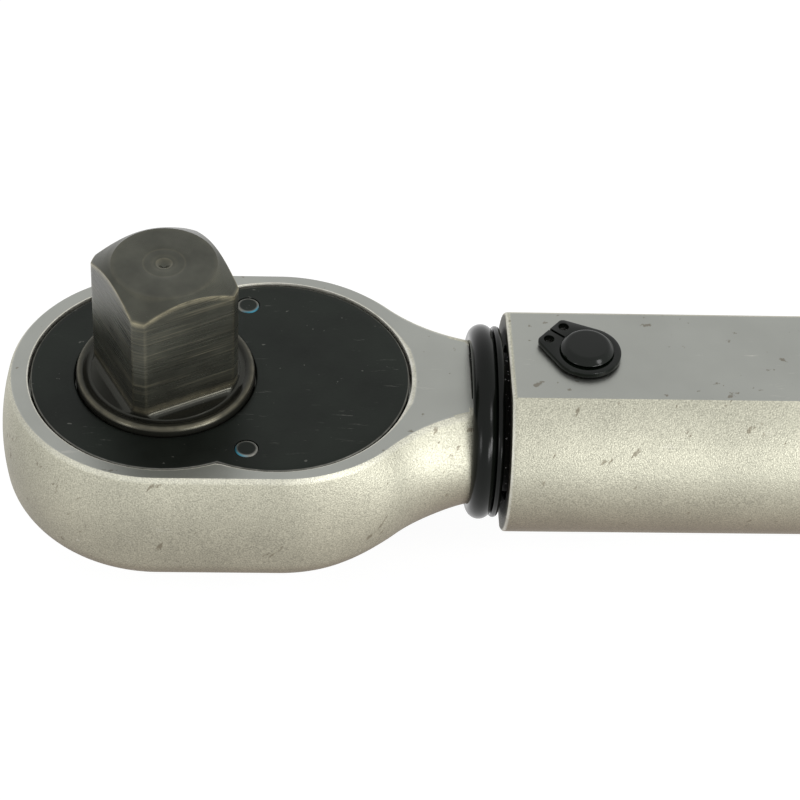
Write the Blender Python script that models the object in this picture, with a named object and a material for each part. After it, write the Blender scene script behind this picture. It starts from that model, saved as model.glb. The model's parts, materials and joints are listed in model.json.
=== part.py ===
"""Click torque wrench with a half-inch square drive, one object per physical piece.

Design frame: origin on the drive axis at the head's top face, +X towards the grip, +Z along the drive.
The whole wrench hangs on one empty that puts the world origin at the centre of the drive's end face.
"""

import math

import bpy
import bmesh
from mathutils import Vector

# Fits
GAP = 0.0003
COVER_GAP = 0.00025
SCREW_GAP = 0.0002
BLEND_IN = 0.003
CUT_OVER = 0.004
ROUND_STEPS = 48
INNER_STEPS = 32
SMALL_STEPS = 24
TINY_STEPS = 12
SHARP_ANGLE = math.radians(28.0)

# Square drive
DRIVE_SQUARE = 0.0127
DRIVE_BLANK_R = 0.652 * DRIVE_SQUARE
TIP_FLAT_R = 0.4535 * DRIVE_SQUARE
TIP_SLOPE = math.tan(math.radians(36.6))
DRIVE_STANDOUT = 0.0162
DRIVE_TURN = math.radians(26.7)
FACE_FOOT = 0.0006
FACE_RUNOUT = 0.0008
COLLAR_R = 0.00996
COLLAR_TOP = 0.0009
COLLAR_BEAD = 0.0006
COLLAR_DISH = 0.0003

# Ratchet gear
GEAR_TEETH = 36
GEAR_TIP_R = 0.0122
TOOTH_DEPTH = 0.0009
TOOTH_LAND = 0.17
GEAR_THICK = 0.0088
JOURNAL_R = 0.0080
JOURNAL_LENGTH = 0.0030

# Detent in the square
BALL_R = 0.0016
BALL_PROUD = 0.0006
BALL_HEIGHT = 0.0090
DETENT_WIRE_R = 0.00022
DETENT_TURNS = 5
DETENT_BORE_REACH = 0.0030

# Head
HEAD_R = 0.01675
HEAD_LEFT_X = -0.0006
HEAD_RIGHT_X = 0.0128
HEAD_THICK = 0.0168
HEAD_BULGE = 0.0011
HEAD_FOOT_R = 0.0050
NECK_FILLET = 0.0200
NECK_HALF = 0.0053
NECK_END_X = 0.0342
NECK_THICK = 0.0142
NECK_BULGE = 0.0037
NECK_FOOT_R = 0.0008
NECK_BLEND_START = 0.0170
EDGE_BREAK = 0.0002
AXIS_DROP = 0.0070

# Cover
COVER_SINK = 0.0002
COVER_THICK = 0.0018
LOBE_LEFT_R = 0.0153
LOBE_RIGHT_R = 0.0154
LOBE_RIGHT_X = 0.01213
COVER_HOLE_GAP = 0.00035
SCREW_X = 0.0091
SCREW_Y = 0.0117
SCREW_R = 0.00125
SCREW_HEAD_R = 0.0022
SCREW_HEAD_H = 0.0016
SCREW_SOCKET_R = 0.0010
SCREW_SINK = 0.0004

# Pawl and reverse lever
PAWL_X = 0.0170
PAWL_PIN_R = 0.0013
PAWL_BACK = 0.0022
PAWL_ARM = 0.0017
PAWL_SWING = math.radians(10.0)
PAWL_TOOTH_GAP = 0.00015
PAWL_INNER_GAP = 0.0008
PAWL_POCKET_X = 0.0152
PAWL_POCKET_R = 0.0110
LEVER_X = 0.0229
LEVER_STEM_R = 0.0029
LEVER_SWING = math.radians(50.0)
LEVER_DISC_R = 0.0052
LEVER_THICK = 0.0034
LEVER_REACH = 0.0150
LEVER_TIP_R = 0.0038
PLUNGER_PIN_R = 0.00085
LEVER_SPRING_TURNS = 3
LEVER_WIRE_R = 0.0002

# Tail lever, pivot and seal
SHANK_R = 0.0079
PIVOT_X = 0.0469
PIN_R = 0.0030
PIN_PROUD = 0.00178
PIN_CHAMFER = 0.0004
CLIP_THICK = 0.0007
CLIP_SEAT = 0.00015
CLIP_RIM_R = 0.0040
CLIP_LUG_R = 0.0054
CLIP_HOLE_AT = 0.00424
CLIP_HOLE_R = 0.00055
CLIP_LUG_ANGLE = math.radians(139.0)
CLIP_LUG_SPREAD = math.radians(19.5)
CLIP_LUG_HALF = math.radians(14.0)
PIN_GROOVE = 0.00045
TAIL_WIDE = 0.0116
TAIL_TALL = 0.0120
TAIL_END_WIDE = 0.0070
TAIL_END_TALL = 0.0100
EYE_BACK = 0.0090
TAIL_TAPER = 0.0060
TAIL_END_X = 0.1160
TAIL_CHAMFER = 0.0012
SEAL_BEAD_R = 0.00135
SEAL_SEAT = 0.00015
SEAL_LIP_R = 0.00045
SEAL_LIP_DROP = 0.0002

# Tube
TUBE_R = 0.0125
TUBE_FLATS = 0.0208
TUBE_BORE_R = 0.0090
TUBE_START_X = 0.0382
TUBE_CHAMFER = 0.0004

# Click mechanism
BLOCK_LENGTH = 0.0080
BLOCK_WIDE = 0.0070
BLOCK_CHAMFER = 0.0004
PLUNGER_R = 0.0086
PLUNGER_LENGTH = 0.0260
PLUNGER_CHAMFER = 0.0008
SPIGOT_R = 0.0043
SPIGOT_LENGTH = 0.0080
SPRING_MEAN_R = 0.0063
SPRING_WIRE_R = 0.0016
SPRING_TURNS = 20
SPRING_LENGTH = 0.1500
SEAT_LENGTH = 0.0060

# Adjuster
WASHER_THICK = 0.0020
WASHER_R = 0.0072
SCREW_SHAFT_R = 0.0065
SCREW_BORE_R = 0.0034
SCREW_LENGTH = 0.1180
NUT_LENGTH = 0.0330
NUT_INSET = 0.0010
NUT_PIN_R = 0.0015
NUT_PIN_BITE = 0.0008
NUT_PIN_SINK = 0.0004

# Grip and lock
GRIP_R = 0.0160
GRIP_LENGTH = 0.1077
GRIP_OVERRUN = 0.0680
GRIP_CHAMFER = 0.0010
GRIP_BORE_GAP = 0.00035
THIMBLE_LENGTH = 0.0140
THIMBLE_EDGE_R = 0.0134
THIMBLE_BAND = 0.0040
PLUG_LENGTH = 0.0360
PLUG_WALL = 0.0122
GRIP_SCREW_R = 0.0020
GRIP_SCREW_BACK = 0.0220
GRIP_SCREW_BITE = 0.0010
RING_BACK = 0.0060
RING_SECTION = 0.0016
KNOB_R = 0.0130
KNOB_NECK_R = 0.0090
KNOB_LENGTH = 0.0240
KNOB_CHAMFER = 0.0015
SPINDLE_R = 0.0030
PAD_LENGTH = 0.0110
KNOB_HOLD = 0.0150

# Heights and places that follow
AXIS_Z = -AXIS_DROP
COVER_TOP_Z = -COVER_SINK
COVER_LOW_Z = COVER_TOP_Z - COVER_THICK
GEAR_TOP_Z = COVER_LOW_Z - GAP
GEAR_LOW_Z = GEAR_TOP_Z - GEAR_THICK
FLOOR_Z = GEAR_LOW_Z - GAP
JOURNAL_LOW_Z = GEAR_LOW_Z - JOURNAL_LENGTH
HEAD_LOW_Z = -HEAD_THICK
FLAT_Z = AXIS_Z + TUBE_FLATS / 2.0
FLAT_LOW_Z = AXIS_Z - TUBE_FLATS / 2.0
BLOCK_X = TAIL_END_X + GAP
PLUNGER_X = BLOCK_X + BLOCK_LENGTH + GAP
SPRING_X = PLUNGER_X + PLUNGER_LENGTH + GAP
SEAT_X = SPRING_X + SPRING_LENGTH + GAP
WASHER_X = SEAT_X + SEAT_LENGTH + GAP
SHAFT_X = WASHER_X + WASHER_THICK + GAP
SHAFT_END_X = SHAFT_X + SCREW_LENGTH
GRIP_END_X = SHAFT_END_X + PLUG_WALL
GRIP_START_X = GRIP_END_X - GRIP_LENGTH
TUBE_END_X = GRIP_END_X - GRIP_OVERRUN
NUT_X = TUBE_END_X - NUT_INSET - NUT_LENGTH
PLUG_X = GRIP_END_X - PLUG_LENGTH
GRIP_BORE_R = TUBE_R + GRIP_BORE_GAP
PAD_X = WASHER_X
SPINDLE_X = PAD_X + PAD_LENGTH + GAP
KNOB_X = GRIP_END_X + GAP
BALL_OUT = DRIVE_SQUARE / 2.0 + BALL_PROUD - BALL_R
FACE_Z = COLLAR_TOP + FACE_FOOT


def clear_scene():
    for item in list(bpy.data.objects):
        bpy.data.objects.remove(item, do_unlink=True)


def material(name, colour, metallic, roughness):
    made = bpy.data.materials.new(name)
    made.use_nodes = True
    shader = made.node_tree.nodes["Principled BSDF"]
    shader.inputs["Base Color"].default_value = (*colour, 1.0)
    shader.inputs["Metallic"].default_value = metallic
    shader.inputs["Roughness"].default_value = roughness
    made.diffuse_color = (*colour, 1.0)
    return made


def empty(name, place, parent=None):
    made = bpy.data.objects.new(name, None)
    bpy.context.scene.collection.objects.link(made)
    made["design_place"] = place
    made.parent = parent
    if parent is None:
        made.location = place
    else:
        made.location = Vector(place) - Vector(parent["design_place"])
    return made


def raw_object(name, points, faces):
    mesh = bpy.data.meshes.new(name)
    mesh.from_pydata(points, [], faces)
    work = bmesh.new()
    work.from_mesh(mesh)
    bmesh.ops.recalc_face_normals(work, faces=work.faces)
    work.to_mesh(mesh)
    work.free()
    made = bpy.data.objects.new(name, mesh)
    bpy.context.scene.collection.objects.link(made)
    return made


def finish(item, shade, parent):
    """Gives a piece its material, smooth shading with crisp edges, and its place on an empty."""
    own = shade.copy()
    own.name = item.name
    item.data.materials.clear()
    item.data.materials.append(own)
    item.data.polygons.foreach_set("use_smooth", [True] * len(item.data.polygons))
    item.data.set_sharp_from_angle(angle=SHARP_ANGLE)
    item.parent = parent
    item.location = -Vector(parent["design_place"])
    return item


def carve(item, tool, operation="DIFFERENCE"):
    """Cuts or joins one solid with another and removes the tool."""
    change = item.modifiers.new("carve", "BOOLEAN")
    change.operation = operation
    change.solver = "EXACT"
    change.object = tool
    view = bpy.context.evaluated_depsgraph_get()
    view.update()
    result = bpy.data.meshes.new_from_object(item.evaluated_get(view), depsgraph=view)
    item.modifiers.clear()
    old = item.data
    name = old.name
    item.data = result
    bpy.data.meshes.remove(old)
    result.name = name
    bpy.data.objects.remove(tool, do_unlink=True)
    return item


def arc(centre, radius, start, end, steps):
    """Points on a circle from one angle to another, both ends included."""
    spread = [start + (end - start) * i / steps for i in range(steps + 1)]
    return [(centre[0] + radius * math.cos(a), centre[1] + radius * math.sin(a)) for a in spread]


def prism(name, outline, low, high):
    """A plan outline drawn up between two heights."""
    count = len(outline)
    points = [(x, y, low) for x, y in outline] + [(x, y, high) for x, y in outline]
    faces = [tuple(range(count)), tuple(range(count, 2 * count))]
    for i in range(count):
        j = (i + 1) % count
        faces.append((i, j, count + j, count + i))
    return raw_object(name, points, faces)


def lathe(name, profile, centre, axis, steps, start=0.0):
    """A closed profile of (radius, height) pairs turned about an axis along X or Z."""
    points = []
    rows = []
    for radius, height in profile:
        if radius <= 0.0:
            rows.append([len(points)] * steps)
            ring = [(0.0, 0.0)]
        else:
            rows.append([len(points) + i for i in range(steps)])
            ring = arc((0.0, 0.0), radius, start, start + 2.0 * math.pi, steps)[:-1]
        for a, b in ring:
            offset = (height, a, b) if axis == "X" else (a, b, height)
            points.append(tuple(c + o for c, o in zip(centre, offset)))
    faces = []
    for row, after in zip(rows, rows[1:] + rows[:1]):
        for i in range(steps):
            j = (i + 1) % steps
            corners = []
            for corner in (row[i], row[j], after[j], after[i]):
                if corner not in corners:
                    corners.append(corner)
            if len(corners) > 2:
                faces.append(tuple(corners))
    return raw_object(name, points, faces)


def rod(name, radius, low, high, centre, axis, steps, chamfer=0.0):
    """A plain round rod, its two rims chamfered when asked."""
    profile = [(0.0, low), (radius - chamfer, low)]
    if chamfer > 0.0:
        profile += [(radius, low + chamfer), (radius, high - chamfer)]
    profile += [(radius - chamfer, high), (0.0, high)]
    return lathe(name, profile, centre, axis, steps)


def ring(name, inner, outer, low, high, centre, axis, steps, chamfer=0.0):
    """A round sleeve between two radii, its outer rims chamfered when asked."""
    profile = [(inner, low), (outer - chamfer, low)]
    if chamfer > 0.0:
        profile += [(outer, low + chamfer), (outer, high - chamfer)]
    profile += [(outer - chamfer, high), (inner, high)]
    return lathe(name, profile, centre, axis, steps)


def cross_rod(name, radius, centre, inner, outer, side, steps):
    """A rod along Y, from one distance to another on one side of the tube axis."""
    ends = [side * inner, side * outer]
    disc = arc((0.0, 0.0), radius, 0.0, 2.0 * math.pi, steps)[:-1]
    points = [(centre[0] + a, centre[1] + y, centre[2] + b) for y in ends for a, b in disc]
    faces = [tuple(range(steps)), tuple(range(steps, 2 * steps))]
    for i in range(steps):
        j = (i + 1) % steps
        faces.append((i, j, steps + j, steps + i))
    return raw_object(name, points, faces)


def coil(name, centre, along, side, mean, wire, length, turns, per_turn=9):
    """A coil spring: one helix with closed end turns, swept with a six-sided wire.

    The angle runs evenly. The rise eases in and out so the end turns lie flat.
    The least gap between turns is measured on the points and printed.
    """
    along = Vector(along)
    side = Vector(side)
    third = along.cross(side)
    sides = 6
    total = turns * per_turn
    end_rise = 2.0 * wire + 0.00045
    inner_turns = turns - 2.0
    rise = (length - 2.0 * wire - 2.0 * end_rise) / inner_turns
    path = []
    for i in range(total + 1):
        turn = i / per_turn
        height = wire + end_rise * min(turn, 1.0)
        height += rise * max(0.0, min(turn - 1.0, inner_turns))
        height += end_rise * max(0.0, turn - 1.0 - inner_turns)
        angle = 2.0 * math.pi * turn
        out = side * math.cos(angle) + third * math.sin(angle)
        path.append((Vector(centre) + out * mean + along * height, out))
    points = []
    for i, (spot, out) in enumerate(path):
        ahead = path[min(i + 1, total)][0] - path[max(i - 1, 0)][0]
        up = ahead.normalized().cross(out).normalized()
        for k in range(sides):
            a = 2.0 * math.pi * k / sides
            points.append(tuple(spot + (out * math.cos(a) + up * math.sin(a)) * wire))
    faces = [tuple(range(sides)), tuple(range(total * sides, (total + 1) * sides))]
    for i in range(total):
        for k in range(sides):
            j = (k + 1) % sides
            low = i * sides
            high = low + sides
            faces.append((low + k, low + j, high + j, high + k))
    least = min((path[i + per_turn][0] - path[i][0]).length for i in range(total - per_turn + 1))
    print(name, "least gap between turns, mm:", round((least - 2.0 * wire) * 1000.0, 3))
    return raw_object(name, points, faces)


def smoothstep(value, start, end):
    t = min(1.0, max(0.0, (value - start) / (end - start)))
    return t * t * (3.0 - 2.0 * t)


def lobed(left_r, right_r, right_x, steps):
    """Plan outline of two overlapping discs, the left one on the drive axis."""
    waist = (right_x ** 2 + left_r ** 2 - right_r ** 2) / (2.0 * right_x)
    left_angle = math.acos(waist / left_r)
    right_angle = math.acos((waist - right_x) / right_r)
    left = arc((0.0, 0.0), left_r, left_angle, 2.0 * math.pi - left_angle, steps)
    right = arc((right_x, 0.0), right_r, -right_angle, right_angle, steps)
    return left + right[1:-1]


def head_half():
    """Lower half of the head's top outline as points with outward normals, left end to neck end."""
    spots = []
    for a in [math.pi + math.pi / 2.0 * i / 14 for i in range(15)]:
        normal = (math.cos(a), math.sin(a))
        spots.append((HEAD_LEFT_X + HEAD_R * normal[0], HEAD_R * normal[1], normal))
    reach = HEAD_R + NECK_FILLET
    fillet_y = -(NECK_HALF + NECK_FILLET)
    fillet_x = HEAD_RIGHT_X + math.sqrt(reach ** 2 - fillet_y ** 2)
    meet = math.atan2(fillet_y, fillet_x - HEAD_RIGHT_X)
    spots.append(((HEAD_LEFT_X + HEAD_RIGHT_X) / 2.0, -HEAD_R, (0.0, -1.0)))
    for i in range(9):
        a = -math.pi / 2.0 + (meet + math.pi / 2.0) * i / 8
        normal = (math.cos(a), math.sin(a))
        spots.append((HEAD_RIGHT_X + HEAD_R * normal[0], HEAD_R * normal[1], normal))
    first = meet + math.pi
    last = math.acos((NECK_END_X - fillet_x) / NECK_FILLET)
    for i in range(1, 10):
        a = first + (last - first) * i / 9
        out = (math.cos(a), math.sin(a))
        spots.append((fillet_x + NECK_FILLET * out[0], fillet_y + NECK_FILLET * out[1], (-out[0], -out[1])))
    spots[-1] = (NECK_END_X, spots[-1][1], (0.0, -1.0))
    return spots


def head_blank():
    """The forging: one outline carried down in levels, bulging between, rounded at the back."""
    half = head_half()
    depths = [0.0, 0.04, 0.12, 0.22, 0.34, 0.46, 0.58, 0.68, 0.76, 0.83, 0.89, 0.94, 0.98, 1.0]
    points = []
    count = 2 * len(half) - 1
    levels = [(0.0, EDGE_BREAK)] + [(max(d, EDGE_BREAK / HEAD_THICK), 0.0) for d in depths]
    for share, inset in levels:
        lower = []
        for x, y, normal in half:
            blend = smoothstep(x, NECK_BLEND_START, NECK_END_X)
            thick = HEAD_THICK + (NECK_THICK - HEAD_THICK) * blend
            bulge = HEAD_BULGE + (NECK_BULGE - HEAD_BULGE) * blend
            foot = HEAD_FOOT_R + (NECK_FOOT_R - HEAD_FOOT_R) * blend
            above = thick * (1.0 - share)
            into = max(0.0, foot - above)
            offset = 4.0 * bulge * share * (1.0 - share) - inset
            offset -= foot - math.sqrt(max(0.0, foot ** 2 - into ** 2))
            lower.append((x + normal[0] * offset, y + normal[1] * offset, -thick * share))
        upper = [(x, -y, z) for x, y, z in reversed(lower[1:])]
        points += lower + upper
    faces = []
    for level in range(len(levels) - 1):
        low = level * count
        for i in range(count):
            j = (i + 1) % count
            faces.append((low + i, low + j, low + count + j, low + count + i))
    last = (len(levels) - 1) * count
    for base in (0, last):
        faces.append((base, base + 1, base + count - 1))
        for i in range(1, len(half) - 1):
            faces.append((base + i, base + i + 1, base + count - i - 1, base + count - i))
    return raw_object("ratchet_head", points, faces)


def tail_bar():
    """The tail lever in the tube: a square-cornered eye that tapers to the block end."""
    taper_x = PIVOT_X + EYE_BACK
    stations = [
        (NECK_END_X + BLEND_IN, TAIL_WIDE, TAIL_TALL),
        (taper_x, TAIL_WIDE, TAIL_TALL),
        (taper_x + TAIL_TAPER, (TAIL_WIDE + TAIL_END_WIDE) / 2.0, TAIL_END_TALL),
        (TAIL_END_X, TAIL_END_WIDE, TAIL_END_TALL),
    ]
    points = []
    for x, wide, tall in stations:
        w = wide / 2.0
        t = tall / 2.0
        c = TAIL_CHAMFER
        section = [(-w, -t + c), (-w + c, -t), (w - c, -t), (w, -t + c)]
        section += [(w, t - c), (w - c, t), (-w + c, t), (-w, t - c)]
        points += [(x, y, AXIS_Z + z) for y, z in section]
    faces = [tuple(range(8)), tuple(range(24, 32))]
    for station in range(3):
        for i in range(8):
            j = (i + 1) % 8
            low = station * 8
            faces.append((low + i, low + j, low + 8 + j, low + 8 + i))
    return raw_object("tail_tool", points, faces)


def build_head(shade, parent):
    """Forged head with cover recess, gear pocket, bores, seal shank and tail lever."""
    item = head_blank()
    axis = (0.0, 0.0, AXIS_Z)
    shank = rod("shank_tool", SHANK_R, NECK_END_X - SEAL_SEAT, PIVOT_X - PIN_R, axis, "X", ROUND_STEPS)
    carve(item, shank, "UNION")
    carve(item, tail_bar(), "UNION")
    recess = lobed(LOBE_LEFT_R, LOBE_RIGHT_R, LOBE_RIGHT_X, INNER_STEPS)
    carve(item, prism("recess_tool", recess, COVER_LOW_Z, CUT_OVER))
    pocket = lobed(GEAR_TIP_R + 2.0 * GAP, PAWL_POCKET_R, PAWL_POCKET_X, INNER_STEPS)
    carve(item, prism("pocket_tool", pocket, FLOOR_Z, CUT_OVER))
    low = JOURNAL_LOW_Z - GAP
    carve(item, rod("bore_tool", JOURNAL_R + GAP, low, GEAR_TOP_Z, (0.0, 0.0, 0.0), "Z", ROUND_STEPS))
    under = HEAD_LOW_Z - CUT_OVER
    stem = (LEVER_X, 0.0, 0.0)
    carve(item, rod("stem_tool", LEVER_STEM_R + GAP, under, GEAR_TOP_Z, stem, "Z", SMALL_STEPS))
    pin_low = FLOOR_Z - JOURNAL_LENGTH / 2.0 - GAP
    pin = (PAWL_X, 0.0, 0.0)
    carve(item, rod("pin_tool", PAWL_PIN_R + SCREW_GAP, pin_low, GEAR_TOP_Z, pin, "Z", SMALL_STEPS))
    for side in (-1.0, 1.0):
        spot = (SCREW_X, side * SCREW_Y, 0.0)
        carve(item, rod("hole_tool", SCREW_R + SCREW_GAP, under, CUT_OVER, spot, "Z", SMALL_STEPS))
        top = HEAD_LOW_Z + SCREW_HEAD_H + 2.0 * GAP + SCREW_SINK
        carve(item, rod("seat_tool", SCREW_HEAD_R + GAP, under, top, spot, "Z", SMALL_STEPS))
    eye = (PIVOT_X, 0.0, AXIS_Z)
    carve(item, rod("eye_tool", PIN_R + GAP, -TUBE_R, TUBE_R, eye, "Z", SMALL_STEPS))
    return finish(item, shade, parent)


def build_cover(shade, parent):
    """Lobed cover plate with the collar hole and two tapped holes."""
    left = LOBE_LEFT_R - COVER_GAP
    right = LOBE_RIGHT_R - COVER_GAP
    outline = lobed(left, right, LOBE_RIGHT_X, INNER_STEPS)
    item = prism("cover_plate", outline, COVER_LOW_Z, COVER_TOP_Z)
    hole = rod("hole_tool", COLLAR_R + COVER_HOLE_GAP, -CUT_OVER, CUT_OVER, (0.0, 0.0, 0.0), "Z", ROUND_STEPS)
    carve(item, hole)
    for side in (-1.0, 1.0):
        spot = (SCREW_X, side * SCREW_Y, 0.0)
        tool = rod("tap_tool", SCREW_R + SCREW_GAP / 2.0, -CUT_OVER, CUT_OVER, spot, "Z", SMALL_STEPS)
        carve(item, tool)
    return finish(item, shade, parent)


def build_cover_screw(name, side, shade, parent):
    """Socket screw from the back, its end a little below the cover's top."""
    spot = (SCREW_X, side * SCREW_Y, 0.0)
    head_low = HEAD_LOW_Z + SCREW_SINK
    head_top = head_low + SCREW_HEAD_H
    deep = head_low + SCREW_HEAD_H * 0.6
    profile = [
        (0.0, deep),
        (SCREW_SOCKET_R, deep),
        (SCREW_SOCKET_R, head_low),
        (SCREW_HEAD_R, head_low),
        (SCREW_HEAD_R, head_top),
        (SCREW_R, head_top),
        (SCREW_R, COVER_TOP_Z - SCREW_SINK),
        (0.0, COVER_TOP_Z - SCREW_SINK),
    ]
    return finish(lathe(name, profile, spot, "Z", SMALL_STEPS), shade, parent)


def build_seal(shade, parent):
    """Rubber ring round the shank: a round bead with a smaller lip towards the tube."""
    inner = SHANK_R + GAP
    bead_x = NECK_END_X + SEAL_SEAT + SEAL_BEAD_R
    bead_r = inner + SEAL_BEAD_R
    lip_x = bead_x + SEAL_BEAD_R + SEAL_LIP_R * 0.35
    lip_r = bead_r + SEAL_BEAD_R - SEAL_LIP_DROP - SEAL_LIP_R
    bead = arc((bead_x, bead_r), SEAL_BEAD_R, math.radians(255.0), math.radians(12.0), 10)
    lip = arc((lip_x, lip_r), SEAL_LIP_R, math.radians(125.0), math.radians(-20.0), 4)
    profile = [(r, x) for x, r in bead + lip]
    profile += [(inner, lip_x + SEAL_LIP_R * 0.8), (inner, bead_x)]
    return finish(lathe("neck_seal", profile, (0.0, 0.0, AXIS_Z), "X", INNER_STEPS), shade, parent)


def gear_outline(tip, depth, grow):
    """Closed outline of the toothed wheel, one tooth on the X axis, grown by a clearance."""
    spots = []
    pitch = 2.0 * math.pi / GEAR_TEETH
    land = TOOTH_LAND * pitch / 2.0 + grow / tip
    foot = pitch / 2.0 * (1.0 - TOOTH_LAND) + grow / tip
    for tooth in range(GEAR_TEETH):
        mid = tooth * pitch
        for angle, radius in ((-foot, tip - depth), (-land, tip), (land, tip), (foot, tip - depth)):
            a = mid + angle
            spots.append(((radius + grow) * math.cos(a), (radius + grow) * math.sin(a)))
    return spots


def build_drive(shade, parent):
    """Ratchet wheel, rear journal, collar and square, turned and cut from one bar."""
    centre = (0.0, 0.0, 0.0)
    item = prism("drive_square", gear_outline(GEAR_TIP_R, TOOTH_DEPTH, 0.0), GEAR_LOW_Z, GEAR_TOP_Z)
    cone_foot = DRIVE_STANDOUT - (DRIVE_BLANK_R - TIP_FLAT_R) * TIP_SLOPE
    hub = JOURNAL_R
    dish = COLLAR_TOP - COLLAR_DISH
    profile = [
        (0.0, JOURNAL_LOW_Z),
        (hub - GAP, JOURNAL_LOW_Z),
        (hub, JOURNAL_LOW_Z + GAP),
        (hub, GEAR_LOW_Z + GAP),
        (COLLAR_R, GEAR_LOW_Z + GAP),
        (COLLAR_R, COLLAR_TOP - COLLAR_BEAD),
        (COLLAR_R - 0.3 * COLLAR_BEAD, COLLAR_TOP - 0.3 * COLLAR_BEAD),
        (COLLAR_R - COLLAR_BEAD, COLLAR_TOP),
        (COLLAR_R - 1.5 * COLLAR_BEAD, COLLAR_TOP - 0.3 * COLLAR_DISH),
        (DRIVE_BLANK_R + GAP, dish),
        (DRIVE_BLANK_R, dish + GAP),
        (DRIVE_BLANK_R, cone_foot),
        (TIP_FLAT_R, DRIVE_STANDOUT),
        (0.0, DRIVE_STANDOUT),
    ]
    carve(item, lathe("drive_tool", profile, centre, "Z", ROUND_STEPS, DRIVE_TURN), "UNION")
    half = DRIVE_SQUARE / 2.0
    reach = 2.0 * DRIVE_BLANK_R
    foot = arc((half + FACE_RUNOUT, FACE_Z), FACE_RUNOUT, math.pi, 1.5 * math.pi, 4)
    section = [(half, DRIVE_STANDOUT + CUT_OVER)] + foot
    section += [(reach, FACE_Z - FACE_RUNOUT), (reach, DRIVE_STANDOUT + CUT_OVER)]
    for quarter in range(4):
        turn = DRIVE_TURN + quarter * math.pi / 2.0
        out = Vector((math.cos(turn), math.sin(turn), 0.0))
        across = Vector((-math.sin(turn), math.cos(turn), 0.0))
        up = Vector((0.0, 0.0, 1.0))
        count = len(section)
        points = [tuple(out * a + across * w + up * b) for w in (-reach, reach) for a, b in section]
        faces = [tuple(range(count)), tuple(range(count, 2 * count))]
        faces += [(i, (i + 1) % count, count + (i + 1) % count, count + i) for i in range(count)]
        carve(item, raw_object("face_tool", points, faces))
    carve(item, detent_bore("bore_tool"))
    return finish(item, shade, parent)


def detent_way():
    """Outward direction of the square's rear face, which carries the detent."""
    turn = DRIVE_TURN + math.pi / 2.0
    return Vector((math.cos(turn), math.sin(turn), 0.0))


def detent_bore(name):
    """The blind hole of the detent ball, along the rear face's direction."""
    out = detent_way()
    across = Vector((-out.y, out.x, 0.0))
    up = Vector((0.0, 0.0, 1.0))
    spot = up * (DRIVE_STANDOUT - BALL_HEIGHT)
    disc = arc((0.0, 0.0), BALL_R + GAP, 0.0, 2.0 * math.pi, SMALL_STEPS)[:-1]
    ends = (-DETENT_BORE_REACH, DRIVE_SQUARE)
    points = [tuple(spot + out * e + across * a + up * b) for e in ends for a, b in disc]
    faces = [tuple(range(SMALL_STEPS)), tuple(range(SMALL_STEPS, 2 * SMALL_STEPS))]
    for i in range(SMALL_STEPS):
        j = (i + 1) % SMALL_STEPS
        faces.append((i, j, SMALL_STEPS + j, SMALL_STEPS + i))
    return raw_object(name, points, faces)


def build_detent(ball_shade, spring_shade, ball_parent, spring_parent):
    """Ball that springs out of the rear face, and its small coil spring."""
    out = detent_way()
    spot = out * BALL_OUT + Vector((0.0, 0.0, DRIVE_STANDOUT - BALL_HEIGHT))
    profile = [(BALL_R * math.sin(math.pi * i / 8), -BALL_R * math.cos(math.pi * i / 8)) for i in range(9)]
    profile[0] = (0.0, -BALL_R)
    profile[-1] = (0.0, BALL_R)
    ball = lathe("detent_ball", profile, tuple(spot), "Z", TINY_STEPS)
    finish(ball, ball_shade, ball_parent)
    base = -DETENT_BORE_REACH + GAP
    length = BALL_OUT - BALL_R - GAP - base
    start = out * base + Vector((0.0, 0.0, DRIVE_STANDOUT - BALL_HEIGHT))
    mean = BALL_R - DETENT_WIRE_R - GAP
    up = (0.0, 0.0, 1.0)
    spring = coil("detent_spring", start, out, up, mean, DETENT_WIRE_R, length, DETENT_TURNS)
    finish(spring, spring_shade, spring_parent)


def turned_about(spots, centre_x, angle):
    """Plan points turned about a point on the X axis."""
    moved = []
    for x, y in spots:
        dx = x - centre_x
        new_x = centre_x + dx * math.cos(angle) - y * math.sin(angle)
        moved.append((new_x, dx * math.sin(angle) + y * math.cos(angle)))
    return moved


def build_pawl(shade, parent):
    """Rocker with two toothed ends that copy the wheel's teeth.

    The engaged upper half is drawn against the wheel, turned back to the middle position,
    mirrored, and the whole outline is turned to the engaged position again.
    """
    pitch = 2.0 * math.pi / GEAR_TEETH
    grown = gear_outline(GEAR_TIP_R, TOOTH_DEPTH, PAWL_TOOTH_GAP)
    teeth = grown[4 * 2 + 1:4 * 4 + 3]
    inner = GEAR_TIP_R + PAWL_INNER_GAP
    outer = GEAR_TIP_R + PAWL_TOOTH_GAP + PAWL_ARM
    start = arc((0.0, 0.0), inner, 0.3 * pitch, 1.6 * pitch, 4)
    tip = 4.0 * pitch + 0.5 * TOOTH_LAND * pitch
    arm = arc((0.0, 0.0), outer, tip, 2.4 * pitch, 5)
    back_x = PAWL_X + PAWL_BACK
    upper = start + teeth + arm + [(back_x, 0.22 * HEAD_R)]
    middle = turned_about(upper, PAWL_X, -PAWL_SWING / 2.0)
    mirrored = [(x, -y) for x, y in reversed(middle)]
    outline = turned_about(middle + mirrored, PAWL_X, PAWL_SWING / 2.0)
    item = prism("pawl", outline, GEAR_LOW_Z, GEAR_TOP_Z)
    pin = (PAWL_X, 0.0, 0.0)
    carve(item, rod("pin_tool", PAWL_PIN_R + GAP, FLOOR_Z - CUT_OVER, CUT_OVER, pin, "Z", SMALL_STEPS))
    return finish(item, shade, parent)


def build_pawl_pin(shade, parent):
    low = FLOOR_Z - JOURNAL_LENGTH / 2.0
    pin = (PAWL_X, 0.0, 0.0)
    return finish(rod("pawl_pin", PAWL_PIN_R, low, GEAR_TOP_Z, pin, "Z", SMALL_STEPS), shade, parent)


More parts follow.
